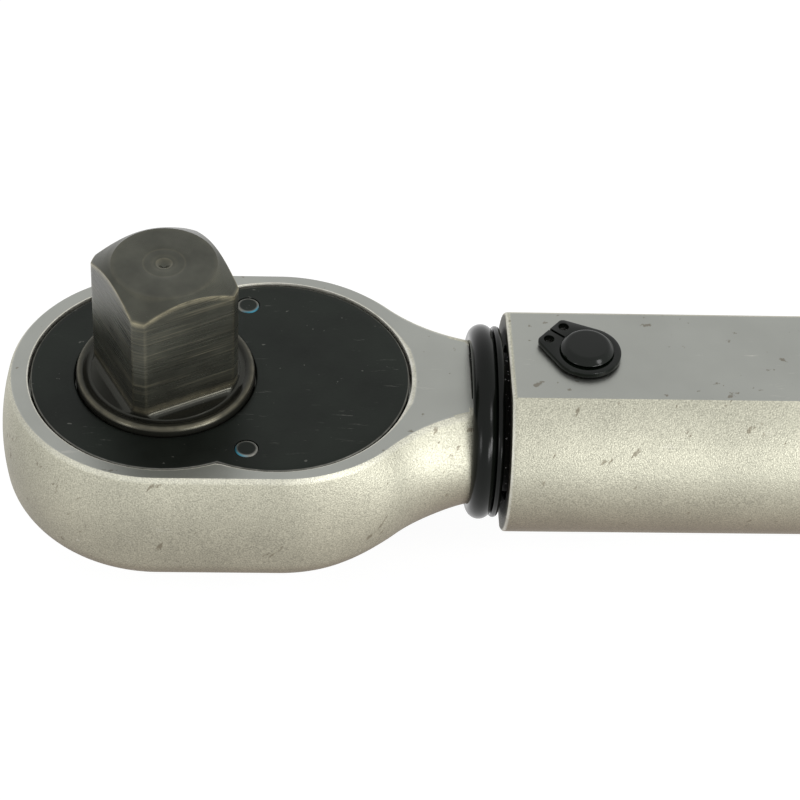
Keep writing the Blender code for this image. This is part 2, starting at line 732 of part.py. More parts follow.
def lever_way():
    """Direction of the lever's plunger at rest, towards the pawl and to one side."""
    angle = math.pi - LEVER_SWING / 2.0
    return Vector((math.cos(angle), math.sin(angle), 0.0))


def build_lever(lever_shade, pin_shade, parent):
    """Thumb lever on the head's back with its stem, and the sprung plunger in the stem."""
    top = HEAD_LOW_Z - GAP
    low = top - LEVER_THICK
    way = lever_way()
    reach = LEVER_REACH - LEVER_TIP_R
    heading = math.atan2(way.y, way.x)
    lean = math.asin((LEVER_DISC_R - LEVER_TIP_R) / reach)
    centre = (LEVER_X, 0.0)
    tip = (LEVER_X + way.x * reach, way.y * reach)
    open_angle = math.pi / 2.0 - lean
    outline = arc(centre, LEVER_DISC_R, heading + open_angle, heading + 2.0 * math.pi - open_angle, 24)
    outline += arc(tip, LEVER_TIP_R, heading - open_angle, heading + open_angle, 12)
    item = prism("reverse_lever", outline, low, top)
    stem_at = (LEVER_X, 0.0, 0.0)
    stem_low = top - LEVER_THICK / 2.0
    carve(item, rod("stem_tool", LEVER_STEM_R, stem_low, GEAR_TOP_Z, stem_at, "Z", SMALL_STEPS), "UNION")
    mid_z = (GEAR_TOP_Z + GEAR_LOW_Z) / 2.0
    hole_start = -0.8 * LEVER_STEM_R
    carve(item, way_rod("hole_tool", way, PLUNGER_PIN_R + GAP, hole_start, 2.0 * LEVER_STEM_R, mid_z))
    finish(item, lever_shade, parent)
    flat_gap = LEVER_X - PAWL_X - PAWL_BACK - 2.0 * GAP
    pin_start = 0.6 * LEVER_STEM_R
    plunger = way_rod("lever_plunger", way, PLUNGER_PIN_R, pin_start, flat_gap, mid_z)
    finish(plunger, pin_shade, parent)
    start = Vector((LEVER_X, 0.0, mid_z)) + way * (hole_start + GAP)
    length = pin_start - GAP - hole_start - GAP
    mean = PLUNGER_PIN_R - LEVER_WIRE_R
    up = (0.0, 0.0, 1.0)
    spring = coil("lever_spring", start, way, up, mean, LEVER_WIRE_R, length, LEVER_SPRING_TURNS)
    finish(spring, pin_shade, parent)


def way_rod(name, way, radius, inner, outer, height):
    """A small rod from the lever's stem axis along a plan direction."""
    across = Vector((-way.y, way.x, 0.0))
    up = Vector((0.0, 0.0, 1.0))
    spot = Vector((LEVER_X, 0.0, height))
    disc = arc((0.0, 0.0), radius, 0.0, 2.0 * math.pi, TINY_STEPS)[:-1]
    points = [tuple(spot + way * e + across * a + up * b) for e in (inner, outer) for a, b in disc]
    faces = [tuple(range(TINY_STEPS)), tuple(range(TINY_STEPS, 2 * TINY_STEPS))]
    for i in range(TINY_STEPS):
        j = (i + 1) % TINY_STEPS
        faces.append((i, j, TINY_STEPS + j, TINY_STEPS + i))
    return raw_object(name, points, faces)


def flatted(radius, across, steps):
    """Section of the tube's outside: a circle with a flat above and a flat below."""
    half = across / 2.0
    edge = math.asin(half / radius)
    right = arc((0.0, 0.0), radius, -edge, edge, steps)
    left = arc((0.0, 0.0), radius, math.pi - edge, math.pi + edge, steps)
    return right + left


def build_tube(shade, parent):
    """Flatted tube with its bore, the pivot holes and the nut's pin holes."""
    outer = flatted(TUBE_R, TUBE_FLATS, 20)
    small = flatted(TUBE_R - TUBE_CHAMFER, TUBE_FLATS - 2.0 * TUBE_CHAMFER, 20)
    stations = [
        (TUBE_START_X, small),
        (TUBE_START_X + TUBE_CHAMFER, outer),
        (TUBE_END_X - TUBE_CHAMFER, outer),
        (TUBE_END_X, small),
    ]
    count = len(outer)
    points = [(x, y, AXIS_Z + z) for x, section in stations for y, z in section]
    faces = [tuple(range(count)), tuple(range(3 * count, 4 * count))]
    for station in range(3):
        for i in range(count):
            j = (i + 1) % count
            low = station * count
            faces.append((low + i, low + j, low + count + j, low + count + i))
    item = raw_object("tube", points, faces)
    axis = (0.0, 0.0, AXIS_Z)
    start = TUBE_START_X - CUT_OVER
    carve(item, rod("bore_tool", TUBE_BORE_R, start, TUBE_END_X + CUT_OVER, axis, "X", ROUND_STEPS))
    pivot = (PIVOT_X, 0.0, AXIS_Z)
    carve(item, rod("eye_tool", PIN_R + SCREW_GAP, -2.0 * TUBE_R, 2.0 * TUBE_R, pivot, "Z", SMALL_STEPS))
    for side in (-1.0, 1.0):
        spot = (NUT_X + NUT_LENGTH / 2.0, 0.0, AXIS_Z)
        radius = NUT_PIN_R + SCREW_GAP
        carve(item, cross_rod("pin_tool", radius, spot, TUBE_BORE_R / 2.0, 2.0 * TUBE_R, side, TINY_STEPS))
    return finish(item, shade, parent)


def build_pivot_pin(shade, parent):
    """Pivot pin through both flats, grooved for a circlip at each end."""
    top = FLAT_Z + PIN_PROUD
    low = FLAT_LOW_Z - PIN_PROUD
    slot = CLIP_THICK + 2.0 * CLIP_SEAT
    neck = PIN_R - PIN_GROOVE
    profile = [
        (0.0, low),
        (PIN_R - PIN_CHAMFER, low),
        (PIN_R, low + PIN_CHAMFER),
        (PIN_R, FLAT_LOW_Z - slot),
        (neck, FLAT_LOW_Z - slot),
        (neck, FLAT_LOW_Z),
        (PIN_R, FLAT_LOW_Z),
        (PIN_R, FLAT_Z),
        (neck, FLAT_Z),
        (neck, FLAT_Z + slot),
        (PIN_R, FLAT_Z + slot),
        (PIN_R, top - PIN_CHAMFER),
        (PIN_R - PIN_CHAMFER, top),
        (0.0, top),
    ]
    pin = lathe("pivot_pin", profile, (PIVOT_X, 0.0, 0.0), "Z", INNER_STEPS)
    return finish(pin, shade, parent)


def build_clip(name, low, shade, parent):
    """Shaft circlip: an open ring with two holed lugs either side of a slit."""
    inner = PIN_R - PIN_GROOVE + SCREW_GAP
    mouth = CLIP_LUG_SPREAD - CLIP_LUG_HALF
    shoulder = CLIP_LUG_SPREAD + CLIP_LUG_HALF
    full = 2.0 * math.pi
    base = CLIP_LUG_ANGLE
    outline = arc((0.0, 0.0), inner, base + mouth * 1.6, base + full - mouth * 1.6, 32)
    outline += arc((0.0, 0.0), CLIP_LUG_R, base - mouth, base - shoulder, 6)
    rim = arc((0.0, 0.0), CLIP_RIM_R, base - shoulder - 0.25, base - full + shoulder + 0.25, 28)
    outline += rim
    outline += arc((0.0, 0.0), CLIP_LUG_R, base - full + shoulder, base - full + mouth, 6)
    outline = [(PIVOT_X + x, y) for x, y in outline]
    item = prism(name, outline, low, low + CLIP_THICK)
    for side in (-1.0, 1.0):
        angle = base + side * CLIP_LUG_SPREAD
        spot = (PIVOT_X + CLIP_HOLE_AT * math.cos(angle), CLIP_HOLE_AT * math.sin(angle), 0.0)
        high = low + CLIP_THICK + CUT_OVER
        carve(item, rod("hole_tool", CLIP_HOLE_R, low - CUT_OVER, high, spot, "Z", TINY_STEPS))
    return finish(item, shade, parent)


def build_block(shade, parent):
    """Tilt block between the tail end and the plunger, its edges broken."""
    half = BLOCK_WIDE / 2.0
    c = BLOCK_CHAMFER
    far = BLOCK_X + BLOCK_LENGTH
    outline = [(BLOCK_X, -half + c), (BLOCK_X + c, -half), (far - c, -half), (far, -half + c)]
    outline += [(far, half - c), (far - c, half), (BLOCK_X + c, half), (BLOCK_X, half - c)]
    item = prism("tilt_block", outline, AXIS_Z - half, AXIS_Z + half)
    return finish(item, shade, parent)


def build_plunger(shade, parent):
    """Plunger: a guided piston with a spigot inside the spring."""
    far = PLUNGER_X + PLUNGER_LENGTH
    c = PLUNGER_CHAMFER
    profile = [
        (0.0, PLUNGER_X),
        (PLUNGER_R - c, PLUNGER_X),
        (PLUNGER_R, PLUNGER_X + c),
        (PLUNGER_R, far),
        (SPIGOT_R, far),
        (SPIGOT_R, far + SPIGOT_LENGTH - c),
        (SPIGOT_R - c, far + SPIGOT_LENGTH),
        (0.0, far + SPIGOT_LENGTH),
    ]
    return finish(lathe("plunger", profile, (0.0, 0.0, AXIS_Z), "X", INNER_STEPS), shade, parent)


def build_main_spring(shade, parent):
    centre = (SPRING_X, 0.0, AXIS_Z)
    along = (1.0, 0.0, 0.0)
    side = (0.0, 1.0, 0.0)
    mean = SPRING_MEAN_R
    spring = coil("main_spring", centre, along, side, mean, SPRING_WIRE_R, SPRING_LENGTH, SPRING_TURNS)
    return finish(spring, shade, parent)


def build_seat(shade, washer_shade, parent):
    """Spring seat with its spigot, and the thrust washer behind it."""
    c = PLUNGER_CHAMFER
    profile = [
        (0.0, SEAT_X - SPIGOT_LENGTH),
        (SPIGOT_R - c, SEAT_X - SPIGOT_LENGTH),
        (SPIGOT_R, SEAT_X - SPIGOT_LENGTH + c),
        (SPIGOT_R, SEAT_X),
        (PLUNGER_R, SEAT_X),
        (PLUNGER_R, SEAT_X + SEAT_LENGTH),
        (0.0, SEAT_X + SEAT_LENGTH),
    ]
    axis = (0.0, 0.0, AXIS_Z)
    finish(lathe("spring_seat", profile, axis, "X", INNER_STEPS), shade, parent)
    far = WASHER_X + WASHER_THICK
    inner = SPINDLE_R + 2.0 * GAP
    finish(ring("thrust_washer", inner, WASHER_R, WASHER_X, far, axis, "X", SMALL_STEPS), washer_shade, parent)


def build_adjuster(shade, parent):
    """Hollow adjusting screw with the two grub-screw holes at its tail."""
    axis = (0.0, 0.0, AXIS_Z)
    item = ring("adjusting_screw", SCREW_BORE_R, SCREW_SHAFT_R, SHAFT_X, SHAFT_END_X, axis, "X", SMALL_STEPS,
                PLUNGER_CHAMFER)
    for side in (-1.0, 1.0):
        spot = (GRIP_END_X - GRIP_SCREW_BACK, 0.0, AXIS_Z)
        radius = GRIP_SCREW_R + SCREW_GAP
        inside = 0.5 * SCREW_BORE_R
        carve(item, cross_rod("bite_tool", radius, spot, inside, TUBE_R, side, TINY_STEPS))
    return finish(item, shade, parent)


def build_nut(shade, pin_shade, parent):
    """Fixed nut in the tube's end, held by two cross pins."""
    axis = (0.0, 0.0, AXIS_Z)
    inner = SCREW_SHAFT_R + GAP
    outer = TUBE_BORE_R - GAP
    item = ring("adjusting_nut", inner, outer, NUT_X, NUT_X + NUT_LENGTH, axis, "X", INNER_STEPS)
    spot = (NUT_X + NUT_LENGTH / 2.0, 0.0, AXIS_Z)
    bite = outer - NUT_PIN_BITE
    for side in (-1.0, 1.0):
        radius = NUT_PIN_R + SCREW_GAP
        carve(item, cross_rod("bite_tool", radius, spot, bite - GAP, TUBE_R, side, TINY_STEPS))
    finish(item, shade, parent)
    for name, side in (("nut_pin_front", -1.0), ("nut_pin_rear", 1.0)):
        pin = cross_rod(name, NUT_PIN_R, spot, bite, TUBE_R - NUT_PIN_SINK, side, TINY_STEPS)
        finish(pin, pin_shade, parent)


def build_grip(shades, parent):
    """Thimble, sleeve, end plug, two grub screws and the rubbing ring of the turned grip."""
    axis = (0.0, 0.0, AXIS_Z)
    thimble_end = GRIP_START_X - GAP
    thimble_start = thimble_end - THIMBLE_LENGTH
    band_start = thimble_end - THIMBLE_BAND
    profile = [
        (GRIP_BORE_R, thimble_start),
        (THIMBLE_EDGE_R, thimble_start),
        (GRIP_R - GRIP_CHAMFER, band_start),
        (GRIP_R - GRIP_CHAMFER, thimble_end),
        (GRIP_BORE_R, thimble_end),
    ]
    finish(lathe("scale_thimble", profile, axis, "X", ROUND_STEPS), shades["chrome"], parent)
    groove = GRIP_START_X + RING_BACK
    c = GRIP_CHAMFER
    deep_r = GRIP_BORE_R + RING_SECTION
    profile = [
        (GRIP_BORE_R, GRIP_START_X),
        (GRIP_R - c, GRIP_START_X),
        (GRIP_R, GRIP_START_X + c),
        (GRIP_R, GRIP_END_X - c),
        (GRIP_R - c, GRIP_END_X),
        (GRIP_BORE_R, GRIP_END_X),
        (GRIP_BORE_R, groove + RING_SECTION + GAP),
        (deep_r, groove + RING_SECTION + GAP),
        (deep_r, groove - GAP),
        (GRIP_BORE_R, groove - GAP),
    ]
    sleeve = lathe("grip_sleeve", profile, axis, "X", INNER_STEPS, math.pi / INNER_STEPS)
    rubber = ring("grip_ring", TUBE_R + SCREW_GAP, deep_r - GAP, groove, groove + RING_SECTION, axis, "X",
                  INNER_STEPS)
    finish(rubber, shades["rubber"], parent)
    shaft_r = SCREW_SHAFT_R + SCREW_GAP
    stop = SHAFT_END_X + GAP
    profile = [
        (shaft_r, PLUG_X),
        (GRIP_BORE_R - SCREW_GAP, PLUG_X),
        (GRIP_BORE_R - SCREW_GAP, GRIP_END_X),
        (SPINDLE_R + GAP, GRIP_END_X),
        (SPINDLE_R + GAP, stop),
        (shaft_r, stop),
    ]
    plug = lathe("grip_plug", profile, axis, "X", INNER_STEPS)
    spot = (GRIP_END_X - GRIP_SCREW_BACK, 0.0, AXIS_Z)
    radius = GRIP_SCREW_R + SCREW_GAP
    for side in (-1.0, 1.0):
        for item in (sleeve, plug):
            tool = cross_rod("bite_tool", radius, spot, SCREW_BORE_R, 2.0 * GRIP_R, side, TINY_STEPS)
            carve(item, tool)
    finish(sleeve, shades["chrome"], parent)
    finish(plug, shades["steel"], parent)
    bite = SCREW_SHAFT_R - GRIP_SCREW_BITE
    for name, side in (("grip_screw_front", -1.0), ("grip_screw_rear", 1.0)):
        pin = cross_rod(name, GRIP_SCREW_R, spot, bite, GRIP_R - GRIP_CHAMFER, side, TINY_STEPS)
        finish(pin, shades["black"], parent)


def build_lock(shades, knob_parent, pad_parent):
    """Lock knob on its spindle, and the pad that the spindle presses on the spring seat."""
    axis = (0.0, 0.0, AXIS_Z)
    pad = rod("lock_pad", SPINDLE_R, PAD_X, PAD_X + PAD_LENGTH, axis, "X", SMALL_STEPS, GAP)
    finish(pad, shades["brass"], pad_parent)
    hold = KNOB_X + KNOB_HOLD
    spindle = rod("lock_spindle", SPINDLE_R, SPINDLE_X, hold, axis, "X", SMALL_STEPS, GAP)
    finish(spindle, shades["steel"], knob_parent)
    far = KNOB_X + KNOB_LENGTH
    c = KNOB_CHAMFER
    waist = KNOB_X + 2.0 * c
    profile = [
        (SPINDLE_R + SCREW_GAP, KNOB_X),
        (KNOB_NECK_R, KNOB_X),
        (KNOB_NECK_R, waist),
        (KNOB_R - c, waist),
        (KNOB_R, waist + c),
        (KNOB_R, far - c),
        (KNOB_R - c, far),
        (0.0, far),
        (0.0, hold + SCREW_GAP),
        (SPINDLE_R + SCREW_GAP, hold + SCREW_GAP),
    ]
    finish(lathe("lock_knob", profile, axis, "X", ROUND_STEPS), shades["black"], knob_parent)


def main():
    clear_scene()
    shades = {
        "chrome": material("satin_chrome", (0.62, 0.60, 0.54), 1.0, 0.38),
        "black": material("black_oxide", (0.03, 0.03, 0.03), 0.7, 0.45),
        "drive": material("phosphated_steel", (0.07, 0.06, 0.05), 0.8, 0.45),
        "steel": material("bright_steel", (0.55, 0.55, 0.55), 1.0, 0.35),
        "rubber": material("rubber", (0.012, 0.012, 0.012), 0.0, 0.4),
        "brass": material("brass", (0.60, 0.45, 0.18), 1.0, 0.35),
    }
    wrench = empty("wrench", (0.0, 0.0, 0.0))
    wrench.location = (0.0, 0.0, -DRIVE_STANDOUT)
    tube_axis = empty("tube_axis", (0.0, 0.0, AXIS_Z), wrench)
    head_pivot = empty("head_pivot", (PIVOT_X, 0.0, AXIS_Z), wrench)
    drive_axis = empty("drive_axis", (0.0, 0.0, 0.0), head_pivot)
    ball_axis = empty("ball_axis", (0.0, 0.0, DRIVE_STANDOUT - BALL_HEIGHT), drive_axis)
    pawl_axis = empty("pawl_axis", (PAWL_X, 0.0, 0.0), head_pivot)
    lever_axis = empty("lever_axis", (LEVER_X, 0.0, 0.0), head_pivot)
    block_axis = empty("block_axis", (BLOCK_X, BLOCK_WIDE / 2.0, AXIS_Z), head_pivot)
    grip_axis = empty("grip_axis", (GRIP_START_X, 0.0, AXIS_Z), wrench)
    knob_axis = empty("knob_axis", (KNOB_X, 0.0, AXIS_Z), wrench)

    build_head(shades["chrome"], head_pivot)
    build_cover(shades["black"], head_pivot)
    build_cover_screw("cover_screw_front", -1.0, shades["black"], head_pivot)
    build_cover_screw("cover_screw_rear", 1.0, shades["black"], head_pivot)
    build_seal(shades["rubber"], head_pivot)
    build_drive(shades["drive"], drive_axis)
    build_detent(shades["steel"], shades["steel"], ball_axis, drive_axis)
    build_pawl(shades["drive"], pawl_axis)
    build_pawl_pin(shades["steel"], head_pivot)
    build_lever(shades["black"], shades["steel"], lever_axis)
    build_tube(shades["chrome"], tube_axis)
    build_pivot_pin(shades["black"], tube_axis)
    build_clip("pivot_clip_top", FLAT_Z + CLIP_SEAT, shades["black"], tube_axis)
    build_clip("pivot_clip_bottom", FLAT_LOW_Z - CLIP_SEAT - CLIP_THICK, shades["black"], tube_axis)
    build_block(shades["steel"], block_axis)
    build_plunger(shades["steel"], tube_axis)
    build_main_spring(shades["steel"], tube_axis)
    build_seat(shades["steel"], shades["brass"], tube_axis)
    build_adjuster(shades["steel"], grip_axis)
    build_nut(shades["steel"], shades["black"], tube_axis)
    build_grip(shades, grip_axis)
    build_lock(shades, knob_axis, knob_axis)


main()
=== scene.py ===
"""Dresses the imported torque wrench: fine visible surfaces, finishes, light and the photograph's camera."""

import json
import math

import bmesh
import bpy
import numpy as np
from mathutils import Matrix, Vector


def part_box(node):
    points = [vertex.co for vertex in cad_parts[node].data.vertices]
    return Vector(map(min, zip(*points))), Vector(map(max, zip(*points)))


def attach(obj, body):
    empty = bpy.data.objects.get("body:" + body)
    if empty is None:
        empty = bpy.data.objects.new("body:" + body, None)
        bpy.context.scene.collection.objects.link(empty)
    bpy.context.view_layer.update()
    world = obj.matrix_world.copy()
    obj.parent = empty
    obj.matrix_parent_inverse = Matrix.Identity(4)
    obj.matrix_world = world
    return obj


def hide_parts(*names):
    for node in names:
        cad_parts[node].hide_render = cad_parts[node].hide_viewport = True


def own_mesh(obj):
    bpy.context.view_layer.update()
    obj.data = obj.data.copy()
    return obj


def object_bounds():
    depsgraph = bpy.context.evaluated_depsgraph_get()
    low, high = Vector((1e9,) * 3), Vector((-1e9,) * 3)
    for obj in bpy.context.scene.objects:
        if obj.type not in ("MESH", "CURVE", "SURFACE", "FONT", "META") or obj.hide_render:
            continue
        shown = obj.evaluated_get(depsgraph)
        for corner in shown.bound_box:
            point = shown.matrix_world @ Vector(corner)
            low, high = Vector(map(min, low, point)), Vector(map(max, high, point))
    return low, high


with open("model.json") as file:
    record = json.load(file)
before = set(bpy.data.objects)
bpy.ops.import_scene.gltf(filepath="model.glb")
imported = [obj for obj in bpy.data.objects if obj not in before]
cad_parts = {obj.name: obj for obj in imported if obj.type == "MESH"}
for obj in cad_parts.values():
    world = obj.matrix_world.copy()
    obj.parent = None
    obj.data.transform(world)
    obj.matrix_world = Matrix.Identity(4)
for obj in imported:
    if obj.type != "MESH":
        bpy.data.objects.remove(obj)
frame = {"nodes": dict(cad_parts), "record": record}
CAD_BOX = [list(corner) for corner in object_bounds()]
TUBE_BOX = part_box("tube")
GRIP_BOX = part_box("grip_sleeve")
KNOB_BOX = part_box("lock_knob")
THIMBLE_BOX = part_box("scale_thimble")
PIN_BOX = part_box("pivot_pin")
GRUB_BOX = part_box("grip_screw_front")
SPRING_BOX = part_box("main_spring")
CLIP_BOXES = {name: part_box(name) for name in ("pivot_clip_top", "pivot_clip_bottom")}

bl_info = {
    "name": "Click torque wrench",
    "version": (1, 0, 0),
    "blender": (4, 5, 0),
    "location": "3D View > Sidebar > Torque wrench",
    "description": "Builds the visible surfaces and finishes of a click torque wrench on its packed frame",
    "category": "Add Mesh",
}

TAU = 2.0 * math.pi
QUARTER = math.pi / 2.0
MERGE = 1e-7  # points nearer than this become one
INK = 0.00003  # half the thickness of a filled mark
CLIP_ANGLE = math.radians(139.0)  # direction of the circlips' slits
SCALE_FIRST = 40
SCALE_LAST = 200
SCALE_TURN = 10  # units of the scale in one turn of the grip
SPRING_TURNS = 20.0
EDGE_RUB_AND_SHEEN = 0.03  # share of a face's height that is rubbed at its edge and given a painted highlight there


def length(name, default, description):
    return bpy.props.FloatProperty(
        name=name, default=default, description=description, unit="LENGTH", precision=5
    )


def tint(name, default, description):
    return bpy.props.FloatVectorProperty(
        name=name, default=default, description=description, subtype="COLOR", size=3, min=0.0, max=1.0
    )


class WrenchSizes(bpy.types.PropertyGroup):
    """Sizes of the visible surfaces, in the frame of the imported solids."""

    face_z: length("Head face", -0.0162, "Height of the head's top face")
    axis_z: length("Tube axis", -0.0232, "Height of the tube's axis")
    head_r: length("Head radius", 0.01675, "Radius of the head's two round ends")
    head_left: length("Left centre", -0.0006, "Centre of the head's left end")
    head_right: length("Right centre", 0.0128, "Centre of the head's right end")
    head_thick: length("Head thickness", 0.0168, "From the top face to the back")
    head_bulge: length("Head bulge", 0.0011, "How far the head's wall swells")
    head_foot: length("Back rounding", 0.0042, "Rounding of the head's back edge")
    neck_fillet: length("Neck fillet", 0.0200, "Radius between head and neck")
    neck_half: length("Neck half width", 0.0053, "Half width of the neck's flat")
    neck_end: length("Neck end", 0.0342, "Where the neck ends at the seal")
    neck_thick: length("Neck thickness", 0.0142, "Distance of the neck's flats")
    neck_bulge: length("Neck bulge", 0.0037, "How far the neck's wall swells")
    neck_foot: length("Neck edge", 0.0008, "Rounding of the neck's back edge")
    shank_r: length("Shank radius", 0.0079, "Radius of the shank behind the neck")
    blend_start: length("Blend start", 0.0170, "Where the head starts to turn into the neck")
    foot_start: length("Foot start", 0.0230, "Where the back rounding starts to turn into the neck's")
    lobe_left: length("Left lobe", 0.0153, "Radius of the cover recess round the drive")
    lobe_right: length("Right lobe", 0.0154, "Radius of the cover recess over the pawl")
    lobe_x: length("Lobe spacing", 0.01213, "Distance of the two lobes")
    recess: length("Recess depth", 0.0020, "Depth of the cover recess")
    cover_gap: length("Cover gap", 0.00025, "Gap between cover and recess")
    cover_sink: length("Cover sink", 0.0002, "How far the cover lies below the head's face")
    cover_thick: length("Cover thickness", 0.0018, "Thickness of the cover plate")
    screw_x: length("Screw place along", 0.0091, "Cover screws from the drive's axis along the wrench")
    screw_y: length("Screw place across", 0.0117, "Cover screws from the drive's axis across the wrench")
    screw_r: length("Screw radius", 0.00125, "Radius of a cover screw")
    lever_x: length("Lever place", 0.0229, "Axis of the reversing lever")
    lever_r: length("Lever disc", 0.0052, "Radius of the lever's disc")
    lever_tip_r: length("Lever tip", 0.0038, "Radius of the lever's thumb end")
    lever_reach: length("Lever reach", 0.0112, "From the lever's axis to the middle of its thumb end")
    lever_thick: length("Lever thickness", 0.0034, "Thickness of the lever")
    square: length("Drive square", 0.0127, "Across the flats of the square")
    blank_r: length("Drive blank", 0.00828, "Radius of the turned bar")
    tip_r: length("Tip radius", 0.00576, "Radius of the end face")
    collar_r: length("Collar radius", 0.00996, "Radius of the drive's collar")
    drive_turn: bpy.props.FloatProperty(
        name="Drive turn", default=math.radians(26.7), description="How the square stands", subtype="ANGLE"
    )
    tube_r: length("Tube radius", 0.0125, "Radius of the tube")
    tube_flats: length("Tube flats", 0.0208, "Distance of the tube's two flats")
    pin_r: length("Pin radius", 0.0030, "Radius of the pivot pin")
    pivot_x: length("Pivot", 0.0469, "Where the pivot pin stands")
    clip_rim: length("Circlip rim", 0.00385, "Outer radius of the circlip")
    clip_tip: length("Circlip tip", 0.0053, "From the pin's axis to the end of the circlip's lugs")
    clip_lug: length("Circlip lug", 0.00225, "Width of one lug")
    thimble_r: length("Thimble edge", 0.0134, "Radius of the thimble's reading edge")
    thimble_land: length("Thimble land", 0.0040, "Straight part of the thimble behind its bevel")
    thimble_step: length("Thimble step", 0.0010, "How far the thimble lies below the grip")
    scale_pitch: length("Scale pitch", 0.0015, "Travel of the grip in one turn, ten units of the scale")
    grip_r: length("Grip radius", 0.0160, "Radius over the knurl")
    knurl: length("Knurl depth", 0.0004, "Depth of the grip's knurl")


class WrenchColours(bpy.types.PropertyGroup):
    """Colours of the finishes."""

    chrome: tint("Satin chrome", (0.4536, 0.4452, 0.362), "Blasted chrome of head and tube sides")
    # Painted shade: chrome that looks down is drawn darker and browner.
    tarnish: tint("Chrome in painted shade", (0.182, 0.148, 0.103), "Chrome that looks down")
    chrome_flat: tint("Chrome flats", (0.335, 0.343, 0.317), "Smoother ground flats")
    scuff: tint("Scuffs", (0.62, 0.60, 0.54), "Bright scuffs on the chrome")
    nick: tint("Nicks", (0.12, 0.095, 0.06), "Dark nicks in the chrome")
    # Rubbed chrome edges, partly a painted edge highlight.
    bright_edge: tint("Chrome edges", (0.78, 0.77, 0.72), "Rubbed and sheen-painted edges of the chrome")
    lint: tint("Lint", (0.55, 0.55, 0.54), "Grey specks in the grease")
    oxide: tint("Black oxide", (0.0112, 0.0142, 0.0112), "Cover plate and screws")
    dust: tint("Dust", (0.20, 0.20, 0.18), "Specks and scratches on the black oxide")
    # Rubbed bare edges of the black oxide, partly a painted edge highlight.
    bare_edge: tint("Bare edge", (0.50, 0.49, 0.44), "Rubbed and sheen-painted edges of the black oxide")
    # Dark smear with lint at the seal and in the tube's mouth, partly painted shade in the gaps there.
    grime: tint("Grime", (0.012, 0.012, 0.010), "Grease and painted shade at the seal and in the tube's mouth")
    thread_lock: tint("Thread lock", (0.05, 0.24, 0.33), "Blue compound round the cover screws' ends")
    phosphate: tint("Phosphated steel", (0.066, 0.067, 0.053), "Square drive")
    # Rubbed bronze edges of the drive, partly a painted edge highlight; also the tone of the milling lines.
    bronze: tint("Worn and sheen-painted edge", (0.40, 0.36, 0.24), "Rubbed and sheen-painted edges of the drive")
    rubber: tint("Rubber", (0.003, 0.004, 0.003), "Seal and ring")
    gloss: tint("Gloss black", (0.003, 0.005, 0.003), "Pivot pin and circlip")
    steel: tint("Bright steel", (0.50, 0.50, 0.50), "Inner pieces")
    spring: tint("Spring steel", (0.10, 0.10, 0.11), "Main spring")
    brass: tint("Brass", (0.55, 0.40, 0.16), "Washer and pad")
    ink: tint("Scale ink", (0.02, 0.02, 0.02), "Filled scale marks")


def sizes():
    return bpy.context.scene.wrench_sizes


def colours():
    return bpy.context.scene.wrench_colours


# Points and meshes

def place(name, data):
    """Makes an object at the origin and links it to the scene."""
    item = bpy.data.objects.new(name, data)
    bpy.context.scene.collection.objects.link(item)
    return item


def grid_mesh(name, grids, marks):
    """Joins grids of points into one closed mesh; each grid is rows by columns by xyz, closed in columns.

    Rows that shrink to one point close a pole, because equal points are merged afterwards. Marks are named
    lists of one array per grid, kept as point attributes.
    """
    spots = []
    quads = []
    base = 0
    for grid in grids:
        rows, cols = grid.shape[:2]
        index = base + np.arange(rows * cols).reshape(rows, cols)
        after = np.roll(index, -1, axis=1)
        quads.append(np.stack([index[:-1], after[:-1], after[1:], index[1:]], axis=-1).reshape(-1, 4))
        spots.append(grid.reshape(-1, 3))
        base += rows * cols
    spots = np.concatenate(spots).astype(np.float32)
    quads = np.concatenate(quads).astype(np.int32)
    mesh = bpy.data.meshes.new(name)
    mesh.vertices.add(len(spots))
    mesh.vertices.foreach_set("co", spots.ravel())
    mesh.loops.add(quads.size)
    mesh.loops.foreach_set("vertex_index", quads.ravel())
    mesh.polygons.add(len(quads))
    mesh.polygons.foreach_set("loop_start", np.arange(0, quads.size, 4, dtype=np.int32))
    mesh.update(calc_edges=True)
    for title, values in marks.items():
        layer = mesh.attributes.new(title, "FLOAT", "POINT")
        flat = np.concatenate([np.asarray(value).reshape(-1) for value in values])
        layer.data.foreach_set("value", flat.astype(np.float32))
    work = bmesh.new()
    work.from_mesh(mesh)
    bmesh.ops.remove_doubles(work, verts=work.verts, dist=MERGE)
    bmesh.ops.dissolve_degenerate(work, edges=work.edges, dist=MERGE)
    bmesh.ops.recalc_face_normals(work, faces=work.faces)
    work.to_mesh(mesh)
    work.free()
    return mesh


def cut_holes(piece, holes):
    """Cuts round holes, each an axis, a centre, a radius and two ends, with Booleans applied at once."""
    for axis, centre, radius, low, high in holes:
        profile = [(0.0, low), (radius, low), (radius, high), (0.0, high)]
        drill = grid_mesh("hole_tool", [revolve(profile, centre, axis, 40)], {})
        tool = place("hole_tool", drill)
        step = piece.modifiers.new("hole", "BOOLEAN")
        step.operation = "DIFFERENCE"
        step.solver = "EXACT"
        step.object = tool
        whole = piece.data
        state = bpy.context.evaluated_depsgraph_get()
        piece.data = bpy.data.meshes.new_from_object(piece.evaluated_get(state))
        piece.modifiers.clear()
        bpy.data.meshes.remove(whole)
        bpy.data.objects.remove(tool)
        bpy.data.meshes.remove(drill)


def mesh_piece(name, grids, body, slot, nodes=(), wear_and_sheen=None, tint_mark=None, sharp=32.0, holes=()):
    """Puts a piece made of grids on its body, with its slot's finish, its marks and its round holes."""
    none = [np.zeros(grid.shape[:2]) for grid in grids]
    mesh = grid_mesh(name, grids, {"wear_and_sheen": wear_and_sheen or none, "tint": tint_mark or none})
    mesh.materials.append(finish_for(slot))
    piece = place(name, mesh)
    cut_holes(piece, holes)
    mesh = piece.data
    mesh.polygons.foreach_set("use_smooth", np.ones(len(mesh.polygons), dtype=bool))
    mesh.set_sharp_from_angle(angle=math.radians(sharp))
    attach(piece, body)
    if nodes:
        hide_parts(*nodes)
    return piece


